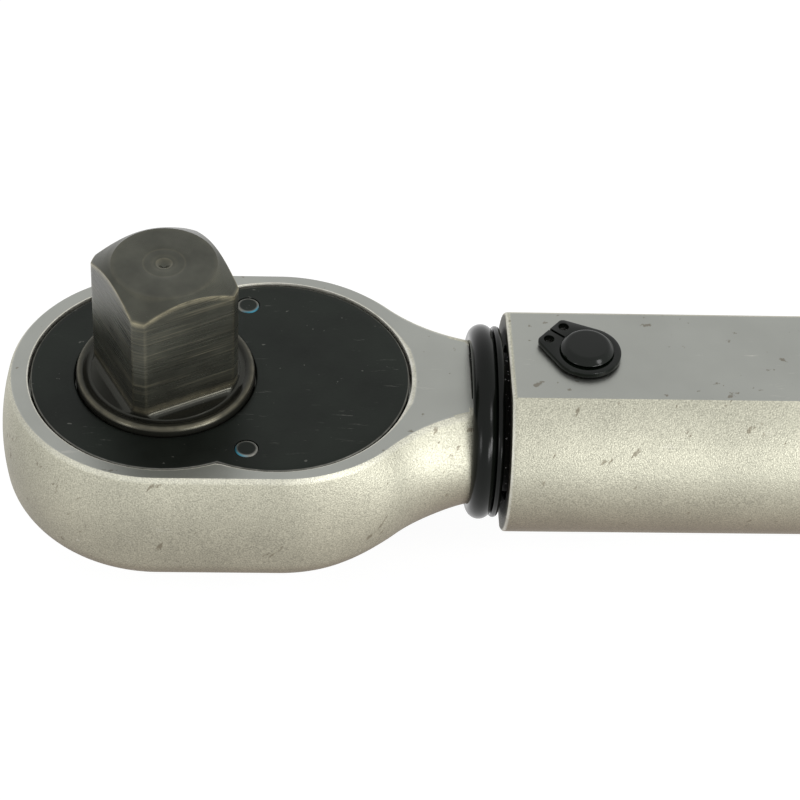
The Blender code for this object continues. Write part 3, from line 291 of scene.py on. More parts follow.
def revolve(profile, centre, axis, cols):
    """Turns rows of (radius, height) about an axis: radius times cosine and sine of an even angle."""
    profile = np.asarray(profile, dtype=float)
    angle = np.linspace(0.0, TAU, cols, endpoint=False)
    radius = profile[:, :1]
    height = np.repeat(profile[:, 1:2], cols, axis=1)
    across = radius * np.cos(angle)
    along = radius * np.sin(angle)
    parts = {"X": (height, across, along), "Y": (along, height, across), "Z": (across, along, height)}
    return np.stack(parts[axis], axis=-1) + np.asarray(centre)


def soft_profile(corners, radius, steps=4):
    """Rounds each inner corner of an open profile with a quadratic curve that starts a radius away."""
    corners = np.asarray(corners, dtype=float)
    out = [corners[:1]]
    for before, here, after in zip(corners[:-2], corners[1:-1], corners[2:]):
        back = before - here
        ahead = after - here
        first = here + back * min(0.45, radius / max(np.linalg.norm(back), 1e-9))
        last = here + ahead * min(0.45, radius / max(np.linalg.norm(ahead), 1e-9))
        t = np.linspace(0.0, 1.0, steps)[:, None]
        out.append((1.0 - t) ** 2 * first + 2.0 * t * (1.0 - t) * here + t ** 2 * last)
    out.append(corners[-1:])
    return np.concatenate(out)


def between(start, end, steps):
    """Even rows from one profile point to another, without the first."""
    t = np.linspace(0.0, 1.0, steps + 1)[1:, None]
    return np.asarray(start) * (1.0 - t) + np.asarray(end) * t


def smoothstep(value, start, end):
    """Nought before the start, one after the end, and three t squared less two t cubed between them."""
    t = np.clip((value - start) / (end - start), 0.0, 1.0)
    return t * t * (3.0 - 2.0 * t)


def soft_min(a, b, reach):
    """The lesser of two arrays, rounded where they meet within a reach."""
    h = np.clip(0.5 + 0.5 * (b - a) / reach, 0.0, 1.0)
    return b * (1.0 - h) + a * h - reach * h * (1.0 - h)


def spread(rows, cols):
    """One array of rows by columns for each place in the rows, whose entries are numbers or arrays."""
    return [np.stack([np.broadcast_to(entry, cols) for entry in entries]) for entries in zip(*rows)]


def arc(x, y, radius, angle):
    """Points on a circle in plan: its centre plus radius times cosine and sine."""
    return np.stack([x + radius * np.cos(angle), y + radius * np.sin(angle)], axis=1)


def polar(radius, angle, height, centre=0.0):
    """Points at a radius, an angle and a height about a centre on the X axis."""
    x = centre + radius * np.cos(angle)
    return np.stack([x, radius * np.sin(angle), height + 0.0 * radius], axis=-1)


# Nodes and finishes

def feed(tree, socket, value):
    """Links an output into a socket, or writes a plain value on it."""
    if isinstance(value, bpy.types.NodeSocket):
        tree.links.new(value, socket)
    else:
        socket.default_value = value


def add_node(tree, kind, inputs, **settings):
    """Adds a shader node, applies its settings and feeds its inputs by name or number."""
    node = tree.nodes.new("ShaderNode" + kind)
    for title, value in settings.items():
        setattr(node, title, value)
    for title, value in inputs.items():
        feed(tree, node.inputs[title], value)
    return node


def noise(tree, vector, scale, detail=3.0, rough=0.55):
    inputs = {"Vector": vector, "Scale": scale, "Detail": detail, "Roughness": rough}
    return add_node(tree, "TexNoise", inputs).outputs["Fac"]


def remap(tree, value, low, high, out_low=0.0, out_high=1.0):
    inputs = {"Value": value, "From Min": low, "From Max": high, "To Min": out_low, "To Max": out_high}
    return add_node(tree, "MapRange", inputs).outputs["Result"]


def math_node(tree, operation, first, second=0.0):
    clamped = operation in {"ADD", "MULTIPLY"}
    node = add_node(tree, "Math", {0: first, 1: second}, operation=operation, use_clamp=clamped)
    return node.outputs["Value"]


def mix_colour(tree, factor, first, second, blend="MIX"):
    inputs = {"Factor": factor, "A": first, "B": second}
    return add_node(tree, "Mix", inputs, data_type="RGBA", blend_type=blend).outputs["Result"]


def toned(tree, colour, value):
    """A colour times a value that changes over the surface."""
    return mix_colour(tree, 1.0, colour, value, "MULTIPLY")


def mapped(tree, vector, rotation, scale, kind="POINT"):
    """Coordinates turned and stretched for a pattern with a grain."""
    inputs = {"Vector": vector, "Rotation": rotation, "Scale": scale}
    return add_node(tree, "Mapping", inputs, vector_type=kind).outputs["Vector"]


def mesh_mark(tree, name):
    """A point attribute of the mesh: its edge mark of rubbed edges and painted highlight, or its tint of
    thread lock, dirt and painted shade.
    """
    return add_node(tree, "Attribute", {}, attribute_name=name).outputs["Fac"]


def rgba(colour, share=1.0):
    """A colour times a share, as a socket takes it."""
    return (*[min(1.0, part * share) for part in colour], 1.0)


def group(name, inputs, outputs):
    """Makes an empty shader node group and returns its tree and the sockets at its two ends."""
    tree = bpy.data.node_groups.new(name, "ShaderNodeTree")
    tree.interface.new_socket("Vector", in_out="INPUT", socket_type="NodeSocketVector")
    for title, value in inputs.items():
        socket = tree.interface.new_socket(title, in_out="INPUT", socket_type="NodeSocketFloat")
        socket.default_value = value
    for title in outputs:
        tree.interface.new_socket(title, in_out="OUTPUT", socket_type="NodeSocketFloat")
    return tree, tree.nodes.new("NodeGroupInput").outputs, tree.nodes.new("NodeGroupOutput").inputs


def build_grain_group():
    """Fine blasted grain with a broad cloud: two noises of the object's own coordinates."""
    tree, given, result = group("Blasted grain", {"Scale": 2400.0}, ("Height", "Cloud"))
    feed(tree, result["Height"], noise(tree, given["Vector"], given["Scale"], 2.0, 0.5))
    feed(tree, result["Cloud"], noise(tree, given["Vector"], 90.0))
    return tree


def build_scuff_group():
    """Thin bright scuffs: a stretched noise cut to its peaks, broken up by a broad noise."""
    tree, given, result = group("Scuffs", {"Amount": 0.5}, ("Mask",))
    stretched = mapped(tree, given["Vector"], (0.0, 0.0, 0.6), (1.0, 7.0, 3.0))
    peaks = remap(tree, noise(tree, stretched, 260.0, 4.0, 0.7), 0.62, 0.72)
    places = remap(tree, noise(tree, given["Vector"], 130.0), 0.5, 0.66)
    both = math_node(tree, "MULTIPLY", peaks, places)
    feed(tree, result["Mask"], math_node(tree, "MULTIPLY", both, given["Amount"]))
    return tree


def build_wear_group():
    """Edges rubbed bright with a painted highlight: the mesh's own edge mark, broken up by a noise."""
    tree, given, result = group("Rubbed and sheen-painted edges", {"Strength": 1.0}, ("Mask",))
    uneven = remap(tree, noise(tree, given["Vector"], 900.0), 0.25, 0.75, 0.35, 1.0)
    both = math_node(tree, "MULTIPLY", mesh_mark(tree, "wear_and_sheen"), uneven)
    feed(tree, result["Mask"], math_node(tree, "MULTIPLY", both, given["Strength"]))
    return tree


GROUPS = {
    "Blasted grain": build_grain_group,
    "Scuffs": build_scuff_group,
    "Rubbed and sheen-painted edges": build_wear_group,
}


def place_group(tree, name, vector, **values):
    """Places a shared group in a material; the group is built when it is first asked for."""
    shared = bpy.data.node_groups.get(name) or GROUPS[name]()
    return add_node(tree, "Group", {"Vector": vector, **values}, node_tree=shared).outputs


def start_material(name, colour, metallic, roughness):
    """A new material, with its shader's inputs and the object's own coordinates and normal."""
    shade = bpy.data.materials.new(name)
    shade.use_nodes = True
    tree = shade.node_tree
    shader = tree.nodes["Principled BSDF"].inputs
    shader["Base Color"].default_value = rgba(colour)
    shader["Metallic"].default_value = metallic
    shader["Roughness"].default_value = roughness
    return shade, tree, shader, tree.nodes.new("ShaderNodeTexCoord").outputs


def add_bump(tree, shader, height, strength, distance):
    bump = add_node(tree, "Bump", {"Strength": strength, "Distance": distance, "Height": height})
    feed(tree, shader["Normal"], bump.outputs["Normal"])


def facing(tree, coords):
    """How far a face looks up: the height of its normal in the object's own frame."""
    return add_node(tree, "SeparateXYZ", {"Vector": coords["Normal"]}).outputs["Z"]


def chrome_material():
    """Satin chrome: blasted grain on the walls, a painted browner shade underneath, cooler and smoother
    ground flats.

    Bright scuffs, long dark nicks and rubbed edges with a painted highlight lie on it, and tinted places are
    smeared near-black with grey lint, partly painted shade.
    """
    hue = colours()
    shade, tree, shader, coords = start_material("satin_chrome_finish", hue.chrome, 1.0, 0.40)
    spot = coords["Object"]
    grain = place_group(tree, "Blasted grain", spot, Scale=6200.0)
    scuff = place_group(tree, "Scuffs", spot, Amount=0.55)
    rub_and_sheen = place_group(tree, "Rubbed and sheen-painted edges", spot, Strength=0.9)
    height = facing(tree, coords)
    flat = remap(tree, math_node(tree, "ABSOLUTE", height), 0.9975, 0.9996)
    # Painted shade: the colour darkens and browns as the normal turns downwards.
    side = mix_colour(tree, remap(tree, height, -0.50, 0.30), rgba(hue.tarnish), rgba(hue.chrome))
    clouded = toned(tree, side, remap(tree, grain["Cloud"], 0.3, 0.7, 0.90, 1.10))
    speckled = toned(tree, clouded, remap(tree, grain["Height"], 0.25, 0.75, 0.66, 1.34))
    cloud = remap(tree, grain["Cloud"], 0.3, 0.7)
    ground = mix_colour(tree, cloud, rgba(hue.chrome_flat, 0.93), rgba(hue.chrome_flat, 1.05))
    base = mix_colour(tree, flat, speckled, ground)
    bright = mix_colour(tree, scuff["Mask"], base, rgba(hue.scuff))
    stretched = mapped(tree, spot, (0.0, 0.6, 0.2), (0.4, 0.4, 1.3), "TEXTURE")
    nicks = remap(tree, noise(tree, stretched, 300.0, 3.0, 0.6), 0.665, 0.705, 0.0, 0.6)
    nicked = mix_colour(tree, nicks, bright, rgba(hue.nick))
    # Rubbed edges with a painted highlight: brighter where the mesh's edge mark is.
    edged = mix_colour(tree, rub_and_sheen["Mask"], nicked, rgba(hue.bright_edge))
    lint = remap(tree, noise(tree, spot, 2600.0, 2.0), 0.66, 0.72, 0.0, 0.8)
    # Painted shade with dirt: the seal's gap and the tube's mouth are drawn near-black, with grey lint
    # specks.
    greasy_and_shaded = mix_colour(tree, lint, rgba(hue.grime), rgba(hue.lint))
    feed(tree, shader["Base Color"], mix_colour(tree, mesh_mark(tree, "tint"), edged, greasy_and_shaded))
    feed(tree, shader["Roughness"], remap(tree, flat, 0.0, 1.0, 0.52, 0.34))
    softer = remap(tree, flat, 0.0, 1.0, 1.0, 0.15)
    add_bump(tree, shader, math_node(tree, "MULTIPLY", grain["Height"], softer), 0.45, 0.00010)
    return shade


def oxide_material():
    """Black oxide: near-black and softly shining, with dust specks, hair scratches and blue thread lock."""
    hue = colours()
    shade, tree, shader, coords = start_material("black_oxide_finish", hue.oxide, 0.6, 0.42)
    spot = coords["Object"]
    scuff = place_group(tree, "Scuffs", spot, Amount=0.6)
    rub_and_sheen = place_group(tree, "Rubbed and sheen-painted edges", spot, Strength=0.9)
    shader["Specular IOR Level"].default_value = 0.3
    specks = remap(tree, noise(tree, spot, 1500.0, 1.0), 0.755, 0.80, 0.0, 0.4)
    cloud = remap(tree, noise(tree, spot, 120.0), 0.3, 0.7)
    base = mix_colour(tree, cloud, rgba(hue.oxide, 0.75), rgba(hue.oxide, 1.4))
    dusty = mix_colour(tree, math_node(tree, "ADD", scuff["Mask"], specks), base, rgba(hue.dust))
    # Rubbed bare edges, partly a painted highlight.
    edged = mix_colour(tree, rub_and_sheen["Mask"], dusty, rgba(hue.bare_edge))
    locked = mix_colour(tree, mesh_mark(tree, "tint"), edged, rgba(hue.thread_lock))
    feed(tree, shader["Base Color"], locked)
    feed(tree, shader["Roughness"], remap(tree, cloud, 0.0, 1.0, 0.36, 0.48))
    add_bump(tree, shader, noise(tree, spot, 2600.0, 2.0), 0.12, 0.00008)
    return shade


def drive_material():
    """Phosphated drive steel: slanted milling lines on the faces, rubbed bronze edges with a painted
    highlight, and a painted shade darker towards the foot.
    """
    hue = colours()
    shade, tree, shader, coords = start_material("phosphated_steel_finish", hue.phosphate, 0.7, 0.32)
    spot = coords["Object"]
    stretched = mapped(tree, spot, (0.0, 0.10, -sizes().drive_turn), (0.22, 0.22, 9.0))
    lines = noise(tree, stretched, 420.0, 3.0, 0.6)
    upright = remap(tree, math_node(tree, "ABSOLUTE", facing(tree, coords)), 0.2, 0.4, 1.0, 0.0)
    milled = math_node(tree, "MULTIPLY", lines, upright)
    rub_and_sheen = place_group(tree, "Rubbed and sheen-painted edges", spot, Strength=1.0)
    cloud = remap(tree, noise(tree, spot, 220.0), 0.35, 0.65, 0.80, 1.20)
    clouded = toned(tree, rgba(hue.phosphate), cloud)
    streaked = mix_colour(tree, remap(tree, milled, 0.54, 0.80, 0.0, 0.32), clouded, rgba(hue.bronze))
    # Painted shade: darker towards the foot at the collar.
    foot_shaded = mix_colour(tree, mesh_mark(tree, "tint"), streaked, rgba(hue.phosphate, 0.40))
    # Rubbed bronze edges, partly a painted highlight.
    feed(tree, shader["Base Color"], mix_colour(tree, rub_and_sheen["Mask"], foot_shaded, rgba(hue.bronze)))
    feed(tree, shader["Roughness"], remap(tree, lines, 0.3, 0.7, 0.24, 0.36))
    add_bump(tree, shader, milled, 0.30, 0.00012)
    return shade


def plain_material(name, colour, metallic, low, high, scale, shine):
    """A finish with a slight cloud in its colour and roughness and a faint bump."""
    shade, tree, shader, coords = start_material(name, colour, metallic, low)
    spot = coords["Object"]
    shader["Specular IOR Level"].default_value = shine
    cloud = remap(tree, noise(tree, spot, scale), 0.3, 0.7)
    feed(tree, shader["Base Color"], mix_colour(tree, cloud, rgba(colour, 0.85), rgba(colour, 1.12)))
    feed(tree, shader["Roughness"], remap(tree, cloud, 0.0, 1.0, low, high))
    add_bump(tree, shader, noise(tree, spot, scale * 12.0), 0.1, 0.00006)
    return shade


def finish_for(name):
    """Makes each finish once and hands it out by name."""
    title = name + "_finish"
    made = bpy.data.materials.get(title)
    if made:
        return made
    special = {
        "satin_chrome": chrome_material, "black_oxide": oxide_material, "phosphated_steel": drive_material,
    }
    if name in special:
        return special[name]()
    hue = colours()
    plain = {
        "gloss_black_steel": (hue.gloss, 0.0, 0.12, 0.20, 150.0, 0.24),
        "bright_steel": (hue.steel, 1.0, 0.28, 0.40, 200.0, 0.5),
        "spring_steel": (hue.spring, 0.9, 0.32, 0.45, 200.0, 0.5),
        "rubber": (hue.rubber, 0.0, 0.16, 0.24, 260.0, 0.17),
        "brass": (hue.brass, 1.0, 0.30, 0.42, 200.0, 0.5),
        "scale_ink": (hue.ink, 0.0, 0.50, 0.60, 300.0, 0.4),
    }
    return plain_material(title, *plain[name])


# Shapes

def head_plan(size):
    """Outline of the head from above as points and outward normals.

    One half runs from the neck along a fillet, round the right end, along the straight side and round the
    left end. The other half is its mirror image, and a straight line closes the neck's end.
    """
    reach = size.head_r + size.neck_fillet
    fillet_y = size.neck_half + size.neck_fillet
    fillet_x = size.head_right + math.sqrt(reach ** 2 - fillet_y ** 2)
    meet = math.atan2(fillet_y, fillet_x - size.head_right)
    last = math.acos((size.neck_end - fillet_x) / size.neck_fillet)
    neck = np.linspace(-last, -(math.pi - meet), 40)
    wide = np.linspace(meet, QUARTER, 32)[1:]
    side = np.linspace(size.head_right, size.head_left, 18)[1:]
    far = np.linspace(QUARTER, math.pi, 48)[1:]
    upper = np.concatenate([
        arc(fillet_x, fillet_y, size.neck_fillet, neck),
        arc(size.head_right, 0.0, size.head_r, wide),
        np.stack([side, np.full_like(side, size.head_r)], axis=1),
        arc(size.head_left, 0.0, size.head_r, far),
    ])
    normal = np.concatenate([
        -arc(0.0, 0.0, 1.0, neck),
        arc(0.0, 0.0, 1.0, wide),
        np.tile([0.0, 1.0], (len(side), 1)),
        arc(0.0, 0.0, 1.0, far),
    ])
    normal[0] = (0.0, 1.0)
    mirror = (1.0, -1.0)
    across = np.linspace(-1.0, 1.0, 14)[1:-1]
    end = np.stack([np.full_like(across, size.neck_end), across * upper[0, 1]], axis=1)
    end_normal = np.stack([np.zeros_like(across), across], axis=1)
    spots = np.concatenate([upper, upper[-2::-1] * mirror, end])
    return spots, np.concatenate([normal, normal[-2::-1] * mirror, end_normal])


def lobe_reach(angle, centre, size, shrink):
    """Distance from a point on the X axis to the edge of the two-lobed outline along an angle."""
    far = []
    for lobe, radius in ((0.0, size.lobe_left - shrink), (size.lobe_x, size.lobe_right - shrink)):
        along = (lobe - centre) * np.cos(angle)
        off = (lobe - centre) * np.sin(angle)
        far.append(along + np.sqrt(np.maximum(radius ** 2 - off ** 2, 0.0)))
    return np.maximum(far[0], far[1])


def quarter_sink(radius, into):
    """How far a rounded edge of a radius draws back at a depth into it, along a quarter circle."""
    return radius - np.sqrt(np.maximum(radius ** 2 - into ** 2, 0.0))


def head_grid(size):
    """The forging: its plan outline carried down in levels, then over the rim into the cover recess.

    At a share s of the depth the outline moves out by four times the bulge times s times (1 - s),
    and near the back it moves in along a quarter circle. Head values blend into neck values along X.
    """
    spots, normals = head_plan(size)
    blend = smoothstep(spots[:, 0], size.blend_start, size.neck_end)
    thick = size.head_thick + (size.neck_thick - size.head_thick) * blend
    bulge = size.head_bulge + (size.neck_bulge - size.head_bulge) * blend
    fading = smoothstep(spots[:, 0], size.foot_start, size.neck_end)
    foot = size.head_foot + (size.neck_foot - size.head_foot) * fading
    centre = 0.0061
    edge = 0.00018
    lower = 1.0 - np.linspace(0.0, 1.0, 30) ** 1.5 * 0.4
    share = np.concatenate([lower, np.linspace(0.6, 0.0, 30)[1:]])[:, None]
    depth = thick * share
    offset = 4.0 * bulge * share * (1.0 - share)
    offset = offset - quarter_sink(foot, np.maximum(0.0, foot - thick * (1.0 - share)))
    offset = offset - quarter_sink(edge, np.maximum(0.0, edge - depth))
    plan = spots + normals * offset[..., None]
    wall = np.concatenate([plan, (size.face_z - depth)[..., None]], axis=-1)
    away = plan[-1] - (centre, 0.0)
    angle = np.arctan2(away[:, 1], away[:, 0])
    outer = np.hypot(away[:, 0], away[:, 1])
    inner = lobe_reach(angle, centre, size, 0.0)
    rim = [(outer + (inner - outer) * step, 0.0) for step in (0.08, 0.3, 0.6, 0.9)]
    rim += [(inner + 0.00012, 0.0), (inner + 0.00004, 0.00003), (inner, 0.00012)]
    rim += [(inner, size.recess), (inner - 0.003, size.recess), (0.0, size.recess)]
    radius, drop = spread(rim, len(angle))
    back = wall[0]
    spine = [(back * (1.0, half, 1.0))[None] for half in (0.0, 0.5)]
    grid = np.concatenate([*spine, wall, polar(radius, angle, size.face_z - drop, centre)])
    mark = np.zeros(grid.shape[:2])
    last = 1 + len(wall)
    # Edge marks on the top rim and the recess rim: rubbed edges with a painted highlight.
    mark[last - 1:last + 1] = 0.22
    mark[last + 5:last + 8] = 0.9
    return grid, mark


def tail_grid(size):
    """Shank behind the neck and the tapered tail lever, a ring of eight corners carried along X."""
    near = size.neck_end - 0.0001
    end = 0.0435
    profile = [(0.0, near), (size.shank_r, near), (size.shank_r, end), (0.0, end)]
    shank = revolve(profile, (0, 0, size.axis_z), "X", 64)
    x = np.array([0.040, 0.040, 0.0559, 0.0619, 0.116, 0.116])[:, None]
    wide = np.array([0.0, 0.0116, 0.0116, 0.0093, 0.007, 0.0])[:, None] / 2.0
    tall = np.array([0.0, 0.012, 0.012, 0.010, 0.010, 0.0])[:, None] / 2.0
    cut = np.where(wide > 0.0, 0.0012, 0.0)
    y = wide * (-1, -1, 1, 1, 1, 1, -1, -1) + cut * (0, 1, -1, 0, 0, -1, 1, 0)
    z = tall * (-1, -1, -1, -1, 1, 1, 1, 1) + cut * (1, 0, 0, 1, -1, 0, 0, -1)
    return [shank, np.stack([x + 0.0 * y, y, size.axis_z + z], axis=-1)]


def drive_grid(size):
    """Square drive as a radius over angle and height, with its rubbed edges and their painted highlight, and
    a painted shade at its foot.

    The radius is the lesser of the turned bar and the square, whose distance is half the square divided
    by the cosine of the angle from the nearest face. Each column's rows meet the cone where the face ends.
    Rows are given as radius, height and edge mark, a rubbed edge with a painted highlight: the collar, the
    milled run-out, the faces, the cone, the tip.
    """
    half = size.square / 2.0
    corner = math.acos(half / size.blank_r)
    face = np.linspace(-corner, corner, 41)
    remnant = np.linspace(corner, QUARTER - corner, 9)[1:-1]
    quarter = np.concatenate([face, remnant])
    angle = np.concatenate([quarter + k * QUARTER for k in range(4)])
    local = np.tile(np.where(quarter < math.pi / 4.0, quarter, quarter - QUARTER), 4)
    soft = 0.00010
    flank = soft_min(half / np.cos(local), np.full_like(local, size.blank_r), soft)
    slope = math.tan(math.radians(36.6))
    foot_z = -0.0147
    runout = 0.0008
    cone_z = -(flank - size.tip_r) * slope
    collar = size.collar_r
    bar = size.blank_r
    # The collar's crest carries an edge mark, a rubbed edge with a painted highlight.
    rows = [
        (collar, -0.0185, 0.0), (collar, -0.01595, 0.0), (collar - 0.00004, -0.01568, 0.10),
        (collar - 0.00016, -0.01545, 0.25), (collar - 0.00034, -0.01533, 0.15),
        (collar - 0.00055, -0.01530, 0.05), (collar - 0.00080, -0.01537, 0.0),
        (collar - 0.00105, -0.01552, 0.0), (bar + 0.00040, -0.01563, 0.0), (bar + 0.00012, -0.01561, 0.0),
        (bar + 0.00003, -0.01556, 0.0), (bar, -0.01552, 0.0),
    ]
    for step in np.linspace(0.0, 1.0, 9):
        turn = step * QUARTER
        out = half + runout * (1.0 - math.sin(turn))
        radius = soft_min(out / np.cos(local), np.full_like(local, bar), soft)
        rows.append((radius, foot_z - runout * math.cos(turn), 0.5 * step ** 6))
    # Edge marks on the square's corners, the faces' ends and round the tip: rubbed edges with a painted
    # highlight.
    ridge = 0.12 * np.exp(-((np.abs(np.abs(local) - corner)) / 0.010) ** 2)
    for step in (0.02, 0.06, 0.15, 0.3, 0.45, 0.6, 0.75, 0.88, 0.95, 0.98):
        worn_and_lit = 0.85 * math.exp(-((1.0 - step) / EDGE_RUB_AND_SHEEN) ** 2) + 0.5 * math.exp(-(step / EDGE_RUB_AND_SHEEN) ** 2)
        rows.append((flank, foot_z + (cone_z - foot_z) * step, np.maximum(worn_and_lit, ridge)))
    for step in (0.0, 0.04, 0.12, 0.4, 0.75, 0.93, 1.0):
        worn_and_lit = 0.85 * max(1.0 - step / 0.06, 0.0) + 0.06 * (step > 0.9)
        rows.append((flank + (size.tip_r - flank) * step, cone_z * (1.0 - step), worn_and_lit))
    rows += [
        (0.00565, 0.0, 0.05), (0.0052, 0.0, 0.0), (0.0042, 0.0, 0.0), (0.0030, 0.0, 0.0),
        (0.00245, -0.00002, 0.0), (0.0023, -0.00006, 0.10), (0.0021, -0.00005, 0.0),
        (0.0016, -0.00004, 0.0), (0.00125, -0.00008, 0.06), (0.0010, -0.00009, 0.0),
        (0.00085, -0.0001, 0.25), (0.00072, -0.00016, 0.15), (0.0003, -0.0005, 0.0), (0.0, -0.00065, 0.0),
    ]
    radius, height, mark = spread(rows, len(angle))
    # Painted shade: the drive gets darker towards its foot at the collar.
    foot_shade = 1.0 - smoothstep(height, -0.0152, -0.0118)
    return polar(radius, angle + size.drive_turn, height), mark, foot_shade


def gear_grid():
    """Ratchet wheel below the cover: a trapezoid wave of radius over angle, closed above and below."""
    teeth = 36
    root = 0.0113
    crest = 0.0122
    hub = 0.0079
    top = -0.0185
    low = -0.0273
    end = low - 0.003
    pitch = TAU / teeth
    steps = np.array([-0.415, -0.085, 0.085, 0.415]) * pitch
    angle = (np.arange(teeth)[:, None] * pitch + steps).ravel()
    wheel = np.tile([root, crest, crest, root], teeth)
    rows = [(0.0, top), (wheel, top), (wheel, low), (hub, low), (hub, end), (0.0, end)]
    radius, height = spread(rows, len(angle))
    return polar(radius, angle, height)


def cover_grid(size):
    """Cover plate in polar form about the point between its lobes.

    The outer reach is that of the two-lobed outline less its gap, the inner reach that of the collar's
    hole. Both edges are rounded by quarter circles, and the edge mark, a rubbed edge with a painted
    highlight, follows the outer one.
    """
    centre = 0.00594
    edge = 0.00020
    angle = np.linspace(0.0, TAU, 320, endpoint=False)
    outer = lobe_reach(angle, centre, size, size.cover_gap)
    hole = size.collar_r + 0.00014
    inner = -centre * np.cos(angle) + np.sqrt(hole ** 2 - (centre * np.sin(angle)) ** 2)
    top = size.face_z - size.cover_sink
    low = top - size.cover_thick
    turns = np.linspace(0.0, QUARTER, 5)
    bevel = [(edge * (1.0 - math.cos(turn)), top - edge * (1.0 - math.sin(turn))) for turn in turns]
    rows = [(outer, low, 0.0)]
    for turn, (back, height) in zip(turns, bevel):
        # The rounded outer edge carries an edge mark: rubbed, with a painted highlight.
        rows.append((outer - back, height, 0.55 * math.sin(2.0 * turn)))
    for step in (0.06, 0.3, 0.6, 0.94):
        rows.append((outer - edge + (inner - outer + 2.0 * edge) * step, top, 0.0))
    rows += [(inner + back, height, 0.0) for back, height in reversed(bevel)]
    rows += [(inner, low, 0.0), (outer, low, 0.0)]
    radius, height, mark = spread(rows, len(angle))
    return polar(radius, angle, height, centre), mark


def screw_grid(size, side, lock_at):
    """Cover screw turned about its axis: socket head at the back, shank, rounded end at the cover.

    Rows are radius, height and edge mark, a rubbed edge with a painted highlight. Thread lock colours the
    end's rim round one direction, as a bump of the cosine of the angle from it.
    """
    back = size.face_z - size.head_thick + 0.0004
    end = size.face_z - size.cover_sink + 0.00006
    deep = back + 0.00096
    under = back + 0.0016
    socket = 0.0010
    head = 0.0022
    r = size.screw_r
    # The socket's rim, the head's edge and the end's rounded rim carry edge marks: rubbed, with a painted
    # highlight.
    profile = [
        (0.0, deep, 0.0), (socket, deep, 0.0), (socket, back + 0.0001, 0.0), (socket + 0.0001, back, 0.3),
        (head - 0.0002, back, 0.0), (head, back + 0.0002, 0.3), (head, under, 0.0), (r, under, 0.0),
        (r, end - 0.00060, 0.0), (r + 0.00006, end - 0.00030, 0.3), (r + 0.00004, end - 0.00018, 0.5),
        (r - 0.00008, end - 0.00006, 0.7), (r - 0.00022, end, 0.30), (r - 0.00034, end - 0.00001, 0.0),
        (0.0006, end - 0.00002, 0.0), (0.0, end - 0.00003, 0.0),
    ]
    cols = 48
    grid = revolve([row[:2] for row in profile], (size.screw_x, side * size.screw_y, 0.0), "Z", cols)
    angle = np.linspace(0.0, TAU, cols, endpoint=False)
    near = np.clip(1.6 * np.cos(angle - lock_at) - 0.5, 0.0, 1.0)
    height, mark = spread([row[1:] for row in profile], cols)
    rim = (height > end - 0.0007) & (height < end - 0.00003)
    return grid, mark, rim * near


def clip_grid(size, low, high):
    """Circlip about the pin, measured round from its slit.

    The outer edge is the lesser of the lug's straight end, its distance over the cosine, and the straight
    side that runs tangent to the rim. A rectangle with rounded corners is carried from one side of the
    slit to the other, and the points beside the slit keep half its width.
    """
    inner = 0.00275
    slit = 0.00016
    soft = 0.00014
    some = 0.3 * soft
    lug = math.hypot(size.clip_tip, size.clip_lug)
    tangent = math.atan2(size.clip_lug, size.clip_tip) + math.acos(size.clip_rim / lug)
    half = np.concatenate([np.linspace(0.0, tangent, 56), np.linspace(tangent, math.pi, 44)[1:]])
    turn = np.concatenate([half, (TAU - half)[-2::-1]])
    near = np.minimum(turn, TAU - turn)
    straight = size.clip_tip / np.maximum(np.cos(near), 0.2)
    side = size.clip_rim / np.cos(np.maximum(tangent - near, 0.0))
    outer = np.where(near < tangent, soft_min(straight, side, 0.0006), size.clip_rim)
    loop = np.array([
        (0.0, soft, low), (1.0, -soft, low), (1.0, -some, low + some), (1.0, 0.0, low + soft),
        (1.0, 0.0, high - soft), (1.0, -some, high - some), (1.0, -soft, high), (0.0, soft, high),
        (0.0, some, high - some), (0.0, 0.0, high - soft), (0.0, 0.0, low + soft), (0.0, some, low + some),
    ])
    share, shift, height = loop.T
    radius = inner + (outer[:, None] - inner) * share + shift
    along = radius * np.cos(turn)[:, None]
    across = radius * np.sin(turn)[:, None]
    across = np.where(turn[:, None] < math.pi, np.maximum(across, slit), np.minimum(across, -slit))
    x, y = on_clip(size, along, across)
    grid = np.stack([x, y, height + np.zeros_like(x)], axis=-1)
    ends = [np.repeat(row.mean(axis=0)[None], len(loop), axis=0)[None] for row in (grid[0], grid[-1])]
    return np.concatenate([ends[0], grid, ends[1]])


def on_clip(size, along, across):
    """Plan place of a point given along and across the circlip's slit."""
    x = size.pivot_x + along * math.cos(CLIP_ANGLE) - across * math.sin(CLIP_ANGLE)
    return x, along * math.sin(CLIP_ANGLE) + across * math.cos(CLIP_ANGLE)


def clip_holes(size, low, high):
    """Plier holes in the circlip's two lugs, either side of its slit."""
    hole_r = 0.0006
    over = 0.001
    places = [on_clip(size, 0.00429, side * 0.00135) for side in (-1.0, 1.0)]
    return [("Z", (x, y, 0.0), hole_r, low - over, high + over) for x, y in places]


